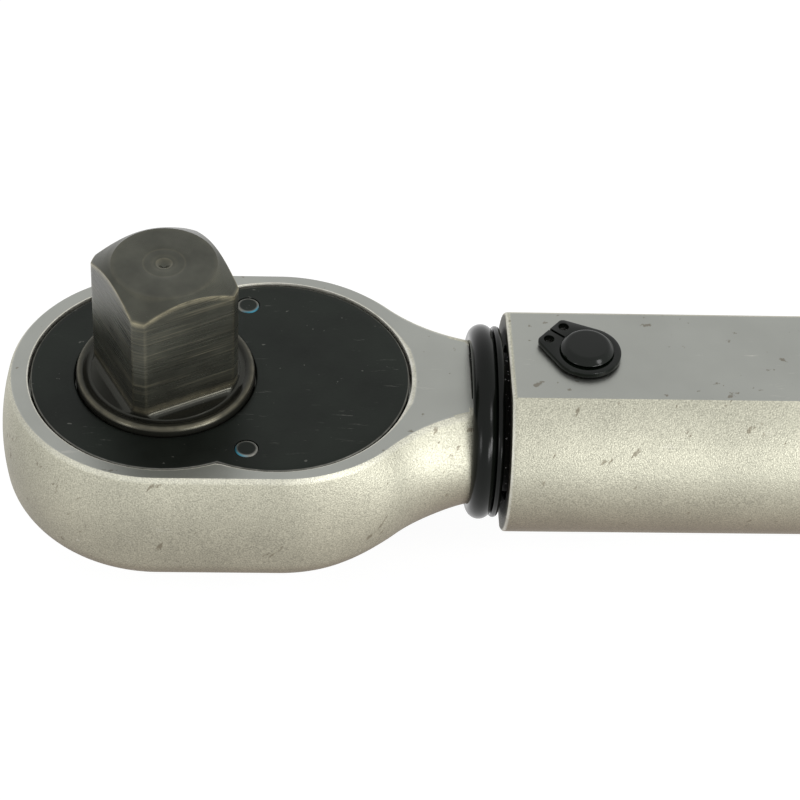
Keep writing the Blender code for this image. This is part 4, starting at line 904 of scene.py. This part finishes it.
def lever_grids(size):
    """Reversing lever: the hull of a disc and a smaller thumb end, carried down with round edges.

    Below, each ring draws in towards the line between the two centres. Cosine ribs cross the thumb end.
    """
    heading = math.pi - math.radians(25.0)
    lean = math.asin((size.lever_r - size.lever_tip_r) / size.lever_reach)
    opening = QUARTER - lean
    wide = np.linspace(heading + opening, heading + TAU - opening, 60)
    thumb = np.linspace(heading - opening, heading + opening, 36)
    way = np.array([math.cos(heading), math.sin(heading)])
    hub = np.concatenate([np.zeros((len(wide), 2)), np.tile(way * size.lever_reach, (len(thumb), 1))])
    hub = hub + (size.lever_x, 0.0)
    reach = np.concatenate([np.full(len(wide), size.lever_r), np.full(len(thumb), size.lever_tip_r)])
    out = arc(0.0, 0.0, 1.0, np.concatenate([wide, thumb]))
    top = size.face_z - size.head_thick - 0.0003
    low = top - size.lever_thick
    soft = 0.0007
    mean_r = 0.0045
    rib_pitch = 0.0012
    rib_height = 0.00035
    rows = [(0.0, top), (1.0, top)]
    for turn in np.linspace(0.0, QUARTER, 6):
        rows.append((1.0 - soft * (1.0 - math.cos(turn)) / mean_r, low + soft * (1.0 - math.sin(turn))))
    rows += [(share, low) for share in (0.7, 0.5, 0.3, 0.12, 0.0)]
    grid = []
    for share, height in rows:
        flat = hub + out * (reach * share)[:, None]
        along = (flat - (size.lever_x, 0.0)) @ way
        rib = smoothstep(along, 0.0070, 0.0082) * (0.5 + 0.5 * np.cos(along / rib_pitch * TAU))
        lift = rib_height * rib * (height <= low + 1e-6)
        grid.append(np.concatenate([flat, (height + lift)[:, None]], axis=1))
    stem_r = 0.0029
    over = top + 0.0008
    under = top - 0.001
    profile = [(0.0, over), (stem_r, over), (stem_r, under), (0.0, under)]
    return [np.stack(grid), revolve(profile, (size.lever_x, 0.0, 0.0), "Z", 40)]


def bar_grid(low, high):
    """A box as a grid: a pole, two rings of four corners and a pole."""
    x = np.array([low[0], high[0], high[0], low[0]])
    y = np.array([low[1], low[1], high[1], high[1]])
    under = np.stack([x, y, np.full(4, low[2])], axis=1)
    over = np.stack([x, y, np.full(4, high[2])], axis=1)
    poles = [np.tile(ring.mean(axis=0), (4, 1)) for ring in (under, over)]
    return np.stack([poles[0], under, over, poles[1]])


def label_mesh(text, height):
    """A short text as a thin closed mesh, centred on the origin in the plane of x and y."""
    curve = bpy.data.curves.new("label", "FONT")
    curve.body = text
    curve.size = height
    curve.align_x = "CENTER"
    curve.align_y = "CENTER"
    curve.extrude = INK
    item = place("label", curve)
    mesh = bpy.data.meshes.new_from_object(item.evaluated_get(bpy.context.evaluated_depsgraph_get()))
    bpy.data.objects.remove(item)
    bpy.data.curves.remove(curve)
    return mesh


def ink_piece(name, parts, body):
    """Joins placed meshes into one piece of filled marks on a body."""
    work = bmesh.new()
    for mesh, spot in parts:
        mesh.transform(spot)
        work.from_mesh(mesh)
        bpy.data.meshes.remove(mesh)
    bmesh.ops.recalc_face_normals(work, faces=work.faces)
    mesh = bpy.data.meshes.new(name)
    work.to_mesh(mesh)
    work.free()
    mesh.materials.clear()
    mesh.materials.append(finish_for("scale_ink"))
    piece = place(name, mesh)
    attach(piece, body)


def spring_grid(first, last):
    """A stretch of the main spring from one turn to another, as a round wire swept along a helix.

    The height climbs by little more than the wire in the two closed end turns, evenly between them.
    """
    wire = 0.0016
    mean = 0.0063
    sides = 12
    start = SPRING_BOX[0][0]
    span = SPRING_BOX[1][0] - start
    shut = 2.0 * wire + 0.00045
    rise = (span - 2.0 * wire - 2.0 * shut) / (SPRING_TURNS - 2.0)
    turn = np.linspace(first, last, int(28 * (last - first)))
    along = wire + shut * np.minimum(turn, 1.0) + rise * np.clip(turn - 1.0, 0.0, SPRING_TURNS - 2.0)
    along = along + shut * np.maximum(turn - SPRING_TURNS + 1.0, 0.0)
    out = np.stack([np.zeros_like(turn), np.cos(TAU * turn), np.sin(TAU * turn)], axis=1)
    path = mean * out
    path[:, 0] = along + start
    ahead = np.gradient(path, axis=0)
    ahead = ahead / np.linalg.norm(ahead, axis=1, keepdims=True)
    up = np.cross(ahead, out)
    angle = np.linspace(0.0, TAU, sides, endpoint=False)[None, :, None]
    rings = path[:, None, :] + wire * (np.cos(angle) * out[:, None, :] + np.sin(angle) * up[:, None, :])
    caps = [np.repeat(spot[None, None], sides, axis=1) for spot in (path[0], path[-1])]
    return np.concatenate([caps[0], rings, caps[1]]) + (0.0, 0.0, sizes().axis_z)


def flatted_ring(radius, across, cols):
    """Section of the tube: two arcs of a circle, joined by straight runs along the two flats."""
    half = across / 2.0
    edge = math.asin(half / radius)
    right = arc(0.0, 0.0, radius, np.linspace(-edge, edge, cols))
    top = np.linspace(1.0, -1.0, 25)[1:-1]
    upper = np.stack([top * radius * math.cos(edge), np.full_like(top, half)], axis=1)
    return np.concatenate([right, upper, -right, -upper])


def knurl_rows(size, inner):
    """Grip sleeve: its knurled skin, its bore and its first ring again, so that the wall is closed.

    Two sine waves that lead opposite ways cross into diamonds. They fade at both ends and at a plain groove
    in the middle, and an exponential rounds each end.
    """
    start = GRIP_BOX[0][0]
    end = GRIP_BOX[1][0]
    run = end - start
    cols = 264
    teeth = 66.0
    pitch = 0.0016
    groove_half = 0.0016
    groove_deep = 0.0005
    end_round = 0.0010
    end_reach = 0.0006
    angle = np.linspace(0.0, TAU, cols, endpoint=False)
    along = np.linspace(0.0, 1.0, 300)[:, None]
    band = smoothstep(along, 0.02, 0.035) * (1.0 - smoothstep(along, 0.965, 0.98))
    groove = 1.0 - np.exp(-((along - 0.5) * run / groove_half) ** 4)
    lead = along * run / pitch * TAU / 2.0
    wave = np.abs(np.sin(teeth / 2.0 * angle + lead)) * np.abs(np.sin(teeth / 2.0 * angle - lead))
    radius = size.grip_r - size.knurl + size.knurl * wave * band * groove
    ends = np.exp(-along * run / end_reach) + np.exp(-(1.0 - along) * run / end_reach)
    radius = radius - end_round * ends
    radius = radius - groove_deep * (1.0 - groove)
    x = np.repeat(start + along * run, cols, axis=1)
    skin = np.stack([x, radius * np.cos(angle), size.axis_z + radius * np.sin(angle)], axis=-1)
    return skin, revolve([(inner, end), (inner, start)], (0, 0, size.axis_z), "X", cols), skin[:1]


# Pieces

def tick_mesh(low, high):
    """A thin bar of ink between two corners in the plane of x and y."""
    return grid_mesh("tick", [bar_grid((*low, -INK), (*high, INK))], {})


def scale_run(size):
    """Length of the torque scale: the pitch times the turns from its first to its last value."""
    return size.scale_pitch * (SCALE_LAST - SCALE_FIRST) / SCALE_TURN


class WRENCH_OT_finishes(bpy.types.Operator):
    """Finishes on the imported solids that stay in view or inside"""

    bl_idname = "wrench.finishes"
    bl_label = "Finishes of the solids"

    def execute(self, context):
        for entry in frame["record"]["subparts"]:
            for holder in frame["nodes"][entry["node"]].material_slots:
                holder.material = finish_for(entry["material_slot"])
        return {"FINISHED"}


class WRENCH_OT_head(bpy.types.Operator):
    """Forged head with its neck, cover recess, shank and tail lever"""

    bl_idname = "wrench.head"
    bl_label = "Head"

    def execute(self, context):
        grid, mark = head_grid(sizes())
        tail = tail_grid(sizes())
        marks = [mark] + [np.zeros(part.shape[:2]) for part in tail]
        # The shank in the seal's gap is tinted near-black: dirt and painted shade.
        grease_and_shade = [np.zeros(mark.shape)] + [np.ones(part.shape[:2]) for part in tail]
        mesh_piece("head_forging", [grid] + tail, "head", "satin_chrome", ("ratchet_head",), marks, grease_and_shade)
        return {"FINISHED"}


class WRENCH_OT_cover(bpy.types.Operator):
    """Black cover plate and the two screws that hold it from the back"""

    bl_idname = "wrench.cover"
    bl_label = "Cover and screws"

    def execute(self, context):
        size = sizes()
        hole_r = size.screw_r + 0.0001
        low = size.face_z - 0.01
        high = size.face_z + 0.01
        holes = [("Z", (size.screw_x, side * size.screw_y, 0.0), hole_r, low, high) for side in (-1.0, 1.0)]
        grid, mark = cover_grid(size)
        mesh_piece("cover_face", [grid], "head", "black_oxide", ("cover_plate",), [mark], holes=holes)
        for name, side, lock_at in (("cover_screw_front", -1.0, 3.7), ("cover_screw_rear", 1.0, 5.2)):
            screw, worn_and_lit, tint_mark = screw_grid(size, side, lock_at)
            mesh_piece(name + "_body", [screw], "head", "black_oxide", (name,), [worn_and_lit], [tint_mark])
        return {"FINISHED"}


class WRENCH_OT_lever(bpy.types.Operator):
    """Reversing lever on the back of the head"""

    bl_idname = "wrench.lever"
    bl_label = "Reversing lever"

    def execute(self, context):
        mesh_piece("reverse_lever_body", lever_grids(sizes()), "lever", "black_oxide", ("reverse_lever",))
        return {"FINISHED"}


class WRENCH_OT_drive(bpy.types.Operator):
    """Square drive with its collar, end face and ratchet wheel"""

    bl_idname = "wrench.drive"
    bl_label = "Square drive"

    def execute(self, context):
        grid, mark, foot_shade = drive_grid(sizes())
        wheel = gear_grid()
        none = np.zeros(wheel.shape[:2])
        mesh_piece("drive_body", [grid, wheel], "drive", "phosphated_steel", ("drive_square",),
                   [mark, none], [foot_shade, none])
        return {"FINISHED"}


class WRENCH_OT_seal(bpy.types.Operator):
    """Rubber ring between neck and tube: a round bead and a smaller lip"""

    bl_idname = "wrench.seal"
    bl_label = "Neck seal"

    def execute(self, context):
        size = sizes()
        inner = 0.0082
        bead_r = 0.00145
        lip_r = 0.00045
        bead_x = size.neck_end - 0.00010 + bead_r
        lip_x = bead_x + bead_r + 0.35 * lip_r
        lip_at = inner + 2.0 * bead_r - 0.0002 - lip_r
        bead = np.linspace(math.radians(250.0), math.radians(6.0), 36)
        lip = np.linspace(math.radians(140.0), math.radians(-30.0), 18)
        rows = np.concatenate([
            arc(bead_x, inner + bead_r, bead_r, bead)[:, ::-1],
            arc(lip_x, lip_at, lip_r, lip)[:, ::-1],
            [(inner, lip_x + 0.8 * lip_r), (inner, bead_x)],
        ])
        rows = np.concatenate([rows, rows[:1]])
        ring = revolve(rows, (0, 0, size.axis_z), "X", 144)
        mesh_piece("seal_ring", [ring], "head", "rubber", ("neck_seal",), sharp=60.0)
        return {"FINISHED"}


class WRENCH_OT_tube(bpy.types.Operator):
    """Flatted tube with softly broken edges and an open bore"""

    bl_idname = "wrench.tube"
    bl_label = "Tube"

    def execute(self, context):
        size = sizes()
        outer = flatted_ring(size.tube_r, size.tube_flats, 40)
        bore_r = 0.009
        bore = arc(0.0, 0.0, bore_r, np.arctan2(outer[:, 1], outer[:, 0]))
        face = bore + 0.3 * (outer - bore)
        start = TUBE_BOX[0][0]
        end = TUBE_BOX[1][0]
        inside = start + 0.02
        edge = 0.0004
        stations = [
            (inside, bore), (start + edge, bore), (start, face), (start, outer * 0.972),
            (start + 0.00006, outer * 0.988), (start + 0.0002, outer * 0.997), (start + edge, outer),
            (start + 2.0 * edge, outer), (end - 2.0 * edge, outer), (end - edge, outer),
            (end, outer * 0.97), (end, bore), (inside, bore),
        ]
        grid = np.stack([np.insert(ring + (0.0, size.axis_z), 0, x, axis=1) for x, ring in stations])
        mark = np.zeros(grid.shape[:2])
        # Edge mark on the chamfer at the tube's mouth: rubbed edge with a painted highlight.
        mark[4:6] = 0.6
        # The tube's mouth and bore are tinted near-black: dirt and painted shade.
        grease_and_shade = np.zeros(grid.shape[:2])
        grease_and_shade[:3] = 1.0
        grease_and_shade[3] = 0.75
        grease_and_shade[-2:] = 1.0
        mesh_piece("tube_shell", [grid], "tube", "satin_chrome", ("tube",), [mark], [grease_and_shade])
        return {"FINISHED"}


class WRENCH_OT_spring(bpy.types.Operator):
    """Main spring: its end turn goes with the plunger, the rest stays with the tube"""

    bl_idname = "wrench.spring"
    bl_label = "Main spring"

    def execute(self, context):
        mesh_piece("spring_end_turn", [spring_grid(0.0, 1.45)], "plunger", "spring_steel", ("main_spring",))
        coil = mesh_piece("spring_coil", [spring_grid(1.65, SPRING_TURNS)], "tube", "spring_steel")
        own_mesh(coil)
        return {"FINISHED"}


class WRENCH_OT_pivot(bpy.types.Operator):
    """Pivot pin with chamfered ends and clip grooves"""

    bl_idname = "wrench.pivot"
    bl_label = "Pivot pin"

    def execute(self, context):
        size = sizes()
        low = PIN_BOX[0][2]
        high = PIN_BOX[1][2]
        r = size.pin_r
        deep = r - 0.00045
        wide = 0.001
        foot = 0.0004
        top = 0.0006
        flat = size.axis_z + size.tube_flats / 2.0
        below = size.axis_z - size.tube_flats / 2.0
        corners = [
            (0.0, low), (r - foot, low), (r, low + foot), (r, below - wide), (deep, below - wide),
            (deep, below), (r, below), (r, flat), (deep, flat), (deep, flat + wide), (r, flat + wide),
            (r, high - top), (r - top, high), (0.0, high),
        ]
        pin = revolve(soft_profile(corners, 0.0003, 6), (size.pivot_x, 0, 0), "Z", 72)
        mesh_piece("pivot_pin_body", [pin], "tube", "gloss_black_steel", ("pivot_pin",))
        return {"FINISHED"}


class WRENCH_OT_clips(bpy.types.Operator):
    """Circlips at both ends of the pivot pin"""

    bl_idname = "wrench.clips"
    bl_label = "Circlips"

    def execute(self, context):
        for name, box in CLIP_BOXES.items():
            low = box[0][2]
            high = box[1][2]
            clip = clip_grid(sizes(), low, high)
            holes = clip_holes(sizes(), low, high)
            mesh_piece(name + "_body", [clip], "tube", "gloss_black_steel", (name,), holes=holes)
        return {"FINISHED"}


class WRENCH_OT_grip(bpy.types.Operator):
    """Thimble with its bevel and the diamond-knurled grip sleeve"""

    bl_idname = "wrench.grip"
    bl_label = "Grip"

    def execute(self, context):
        size = sizes()
        inner = size.tube_r + 0.00035
        sleeve = np.concatenate(knurl_rows(size, inner))
        hole_r = 0.0022
        screw_x = 0.5 * (GRUB_BOX[0][0] + GRUB_BOX[1][0])
        reach = 2.0 * size.grip_r
        ends = ((size.tube_r, reach), (-reach, -size.tube_r))
        holes = [("Y", (screw_x, 0.0, size.axis_z), hole_r, low, high) for low, high in ends]
        mesh_piece("grip_knurl", [sleeve], "grip", "satin_chrome", ("grip_sleeve",), holes=holes)
        low = THIMBLE_BOX[0][0]
        high = THIMBLE_BOX[1][0]
        step_r = size.grip_r - size.thimble_step
        corners = [
            (inner, low), (size.thimble_r, low), (step_r, high - size.thimble_land), (step_r, high),
            (inner, high), (inner, low),
        ]
        rows = soft_profile(corners, 0.0003)
        rows = np.concatenate([rows, rows[:1]])
        bevel = revolve(rows, (0, 0, size.axis_z), "X", 144)
        mesh_piece("thimble_bevel", [bevel], "grip", "satin_chrome", ("scale_thimble",))
        return {"FINISHED"}


class WRENCH_OT_scale(bpy.types.Operator):
    """Plain torque scale on the tube's flat and the ten divisions of the thimble"""

    bl_idname = "wrench.scale"
    bl_label = "Scale"

    def execute(self, context):
        size = sizes()
        low = THIMBLE_BOX[0][0]
        edge = low - 0.0002
        foot = -0.0060
        flat = Matrix.Translation((0.0, 0.0, size.axis_z + size.tube_flats / 2.0))
        towards_head = Matrix(((0.0, -1.0, 0.0), (1.0, 0.0, 0.0), (0.0, 0.0, 1.0))).to_4x4()
        half = 0.00008
        reaches = ((20, 0.0056), (10, 0.0042), (5, 0.0018))
        parts = []
        for value in range(SCALE_FIRST, SCALE_LAST + 1, 5):
            x = edge - size.scale_pitch * (value - SCALE_FIRST) / SCALE_TURN
            reach = next(long for step, long in reaches if value % step == 0)
            parts.append((tick_mesh((x - half, foot), (x + half, foot + reach)), flat))
            if value % 20 == 0:
                spot = flat @ Matrix.Translation((x, 0.0023, 0.0)) @ towards_head
                parts.append((label_mesh(str(value), 0.0026), spot))
        parts.append((tick_mesh((edge - scale_run(size), foot - 2.0 * half), (edge, foot)), flat))
        ink_piece("tube_scale", parts, "tube")
        run = THIMBLE_BOX[1][0] - size.thimble_land - low
        rise = size.grip_r - size.thimble_step - size.thimble_r
        axis = Matrix.Translation((0.0, 0.0, size.axis_z))
        lean = Matrix.Rotation(-math.atan2(rise, run), 4, "Y")
        bevel = Matrix.Translation((low, 0.0, size.thimble_r)) @ lean
        marks = 50
        half = 0.00009
        parts = []
        for number in range(marks):
            spot = axis @ Matrix.Rotation(TAU * number / marks, 4, "X") @ bevel
            whole = number % 5 == 0
            parts.append((tick_mesh((0.0004, -half), (0.0030 if whole else 0.0018, half)), spot))
            if whole:
                spot = spot @ Matrix.Translation((0.0050, 0.0, 0.0)) @ towards_head
                parts.append((label_mesh(str(number // 5), 0.0030), spot))
        ink_piece("thimble_scale", parts, "grip")
        return {"FINISHED"}


class WRENCH_OT_lock(bpy.types.Operator):
    """Lock knob with straight flutes round its rim"""

    bl_idname = "wrench.lock"
    bl_label = "Lock knob"

    def execute(self, context):
        size = sizes()
        start = KNOB_BOX[0][0]
        end = KNOB_BOX[1][0]
        rim = 0.0130
        cut = 0.0015
        boss_r = 0.0090
        boss_end = start + 0.003
        bore_r = 0.0032
        bore_end = start + 0.0152
        cols = 240
        corners = [
            (bore_r, start), (boss_r, start), (boss_r, boss_end), (rim - cut, boss_end),
            (rim, boss_end + cut), (rim, end - cut), (rim - cut, end), (0.004, end), (0.0, end - 0.0004),
        ]
        rows = soft_profile(corners, 0.0006, 6)
        rows = np.concatenate([rows[:-6], between(rows[-6], rows[-1], 6)])
        grid = revolve(rows, (0, 0, 0), "X", cols)
        angle = np.arctan2(grid[..., 2], grid[..., 1])
        radius = np.hypot(grid[..., 1], grid[..., 2])
        flutes = 20.0
        wave = (0.5 + 0.5 * np.cos(flutes * angle)) ** 3
        flute = 0.0004 * smoothstep(radius, rim - 0.0012, rim - 0.0002) * wave
        grid[..., 1:] *= ((radius - flute) / np.maximum(radius, 1e-9))[..., None]
        grid[..., 2] += size.axis_z
        hole = [(0.0, bore_end), (bore_r, bore_end), (bore_r, start)]
        bore = revolve(hole, (0, 0, size.axis_z), "X", cols)
        knob = np.concatenate([bore, grid])
        mesh_piece("lock_knob_body", [knob], "lock_knob", "black_oxide", ("lock_knob",))
        return {"FINISHED"}


class WRENCH_OT_stage(bpy.types.Operator):
    """Pale floor, white surround, soft lamps and the photograph's camera"""

    bl_idname = "wrench.stage"
    bl_label = "Stage"

    def execute(self, context):
        context.scene.view_settings.view_transform = "Standard"
        build_world(context.scene)
        build_floor(min(CAD_BOX[0][2], GRIP_BOX[0][2]) - 0.0005)
        for name, around, above, power in LAMPS:
            lamp(name, math.radians(around), math.radians(above), power)
        build_camera(context.scene)
        return {"FINISHED"}


# Stage, panel and main

LAMPS = (
    ("right_low_lamp", 48.0, 5.0, 2.5),
    ("right_high_lamp", 55.0, 38.0, 1.1),
    ("front_lamp", 30.0, 3.0, 2.2),
    ("left_lamp", -46.0, 8.0, 0.9),
)


def towards(around, above):
    """Way from the wrench to a place at an angle right of the front and an angle above the table."""
    level = math.cos(above)
    return Vector((math.sin(around) * level, -math.cos(around) * level, math.sin(above)))


def lamp(name, around, above, power):
    """Round soft lamp aimed at the head."""
    target = Vector((0.03, 0.0, -0.02))
    far = 0.9
    wide = 0.26
    way = towards(around, above)
    data = bpy.data.lights.new(name, "AREA")
    data.shape = "DISK"
    data.size = wide
    data.energy = power
    item = place(name, data)
    item.location = target + way * far
    item.rotation_euler = (-way).to_track_quat("-Z", "Y").to_euler()


def seen_rays(tree):
    """One where a ray comes from the camera, a gloss or a glass, nought elsewhere."""
    path = add_node(tree, "LightPath", {}).outputs
    first = math_node(tree, "ADD", path["Is Camera Ray"], path["Is Glossy Ray"])
    return math_node(tree, "ADD", first, path["Is Transmission Ray"])


def build_world(scene):
    """White surround, dimmer for the light it throws than for the rays that see it."""
    world = bpy.data.worlds.new("white_surround")
    world.use_nodes = True
    scene.world = world
    tree = world.node_tree
    back = tree.nodes["Background"].inputs
    back["Color"].default_value = (1.0, 1.0, 1.0, 1.0)
    feed(tree, back["Strength"], remap(tree, seen_rays(tree), 0.0, 1.0, 0.60, 1.0))


def build_floor(height):
    """Pale floor that mostly glows white where it is seen, so that only a faint shadow is left on it."""
    reach = 4.0
    corners = [(x * reach, y * reach, height) for x, y in ((-1, -1), (1, -1), (1, 1), (-1, 1))]
    mesh = bpy.data.meshes.new("floor")
    mesh.from_pydata(corners, [], [(0, 1, 2, 3)])
    shade = bpy.data.materials.new("floor_white")
    shade.use_nodes = True
    tree = shade.node_tree
    shader = tree.nodes["Principled BSDF"]
    shader.inputs["Base Color"].default_value = (0.80, 0.80, 0.80, 1.0)
    shader.inputs["Roughness"].default_value = 0.9
    glow = add_node(tree, "Emission", {"Strength": 1.22})
    share = remap(tree, seen_rays(tree), 0.0, 1.0, 0.0, 0.75)
    inputs = {"Fac": share, 1: shader.outputs["BSDF"], 2: glow.outputs["Emission"]}
    both = add_node(tree, "MixShader", inputs)
    feed(tree, tree.nodes["Material Output"].inputs["Surface"], both.outputs["Shader"])
    mesh.materials.append(shade)
    place("floor", mesh)


def build_camera(scene):
    """Camera of the photograph: turned round the vertical, tipped down and rolled a little."""
    around = math.radians(-4.385)
    roll = math.radians(3.731)
    back = towards(around, math.radians(43.554))
    right = Vector((math.cos(around), math.sin(around), 0.0))
    up = back.cross(right)
    across = right * math.cos(roll) + up * math.sin(roll)
    upward = up * math.cos(roll) - right * math.sin(roll)
    data = bpy.data.cameras.new("photo_camera")
    data.sensor_width = 36.0
    data.lens = 124.94
    data.clip_start = 0.01
    camera = place("photo_camera", data)
    turn = Matrix((across, upward, back)).transposed().to_4x4()
    camera.matrix_world = Matrix.Translation((0.008971, -0.226956, 0.196425)) @ turn
    scene.camera = camera


class WRENCH_PT_panel(bpy.types.Panel):
    """Lists the wrench's pieces, sizes and colours"""

    bl_label = "Torque wrench"
    bl_idname = "WRENCH_PT_panel"
    bl_space_type = "VIEW_3D"
    bl_region_type = "UI"
    bl_category = "Torque wrench"

    def draw(self, context):
        for step in STEPS:
            self.layout.operator(step.bl_idname)
        for title in WrenchSizes.__annotations__:
            self.layout.prop(context.scene.wrench_sizes, title)
        for title in WrenchColours.__annotations__:
            self.layout.prop(context.scene.wrench_colours, title)


STEPS = (
    WRENCH_OT_finishes,
    WRENCH_OT_head,
    WRENCH_OT_cover,
    WRENCH_OT_lever,
    WRENCH_OT_drive,
    WRENCH_OT_seal,
    WRENCH_OT_tube,
    WRENCH_OT_spring,
    WRENCH_OT_pivot,
    WRENCH_OT_clips,
    WRENCH_OT_grip,
    WRENCH_OT_scale,
    WRENCH_OT_lock,
    WRENCH_OT_stage,
)
CLASSES = (WrenchSizes, WrenchColours) + STEPS + (WRENCH_PT_panel,)


def register():
    for item in CLASSES:
        bpy.utils.register_class(item)
    bpy.types.Scene.wrench_sizes = bpy.props.PointerProperty(type=WrenchSizes)
    bpy.types.Scene.wrench_colours = bpy.props.PointerProperty(type=WrenchColours)


def unregister():
    del bpy.types.Scene.wrench_colours
    del bpy.types.Scene.wrench_sizes
    for item in reversed(CLASSES):
        bpy.utils.unregister_class(item)


def main():
    register()
    for step in STEPS:
        family, name = step.bl_idname.split(".")
        getattr(getattr(bpy.ops, family), name)()


if __name__ == "__main__":
    main()
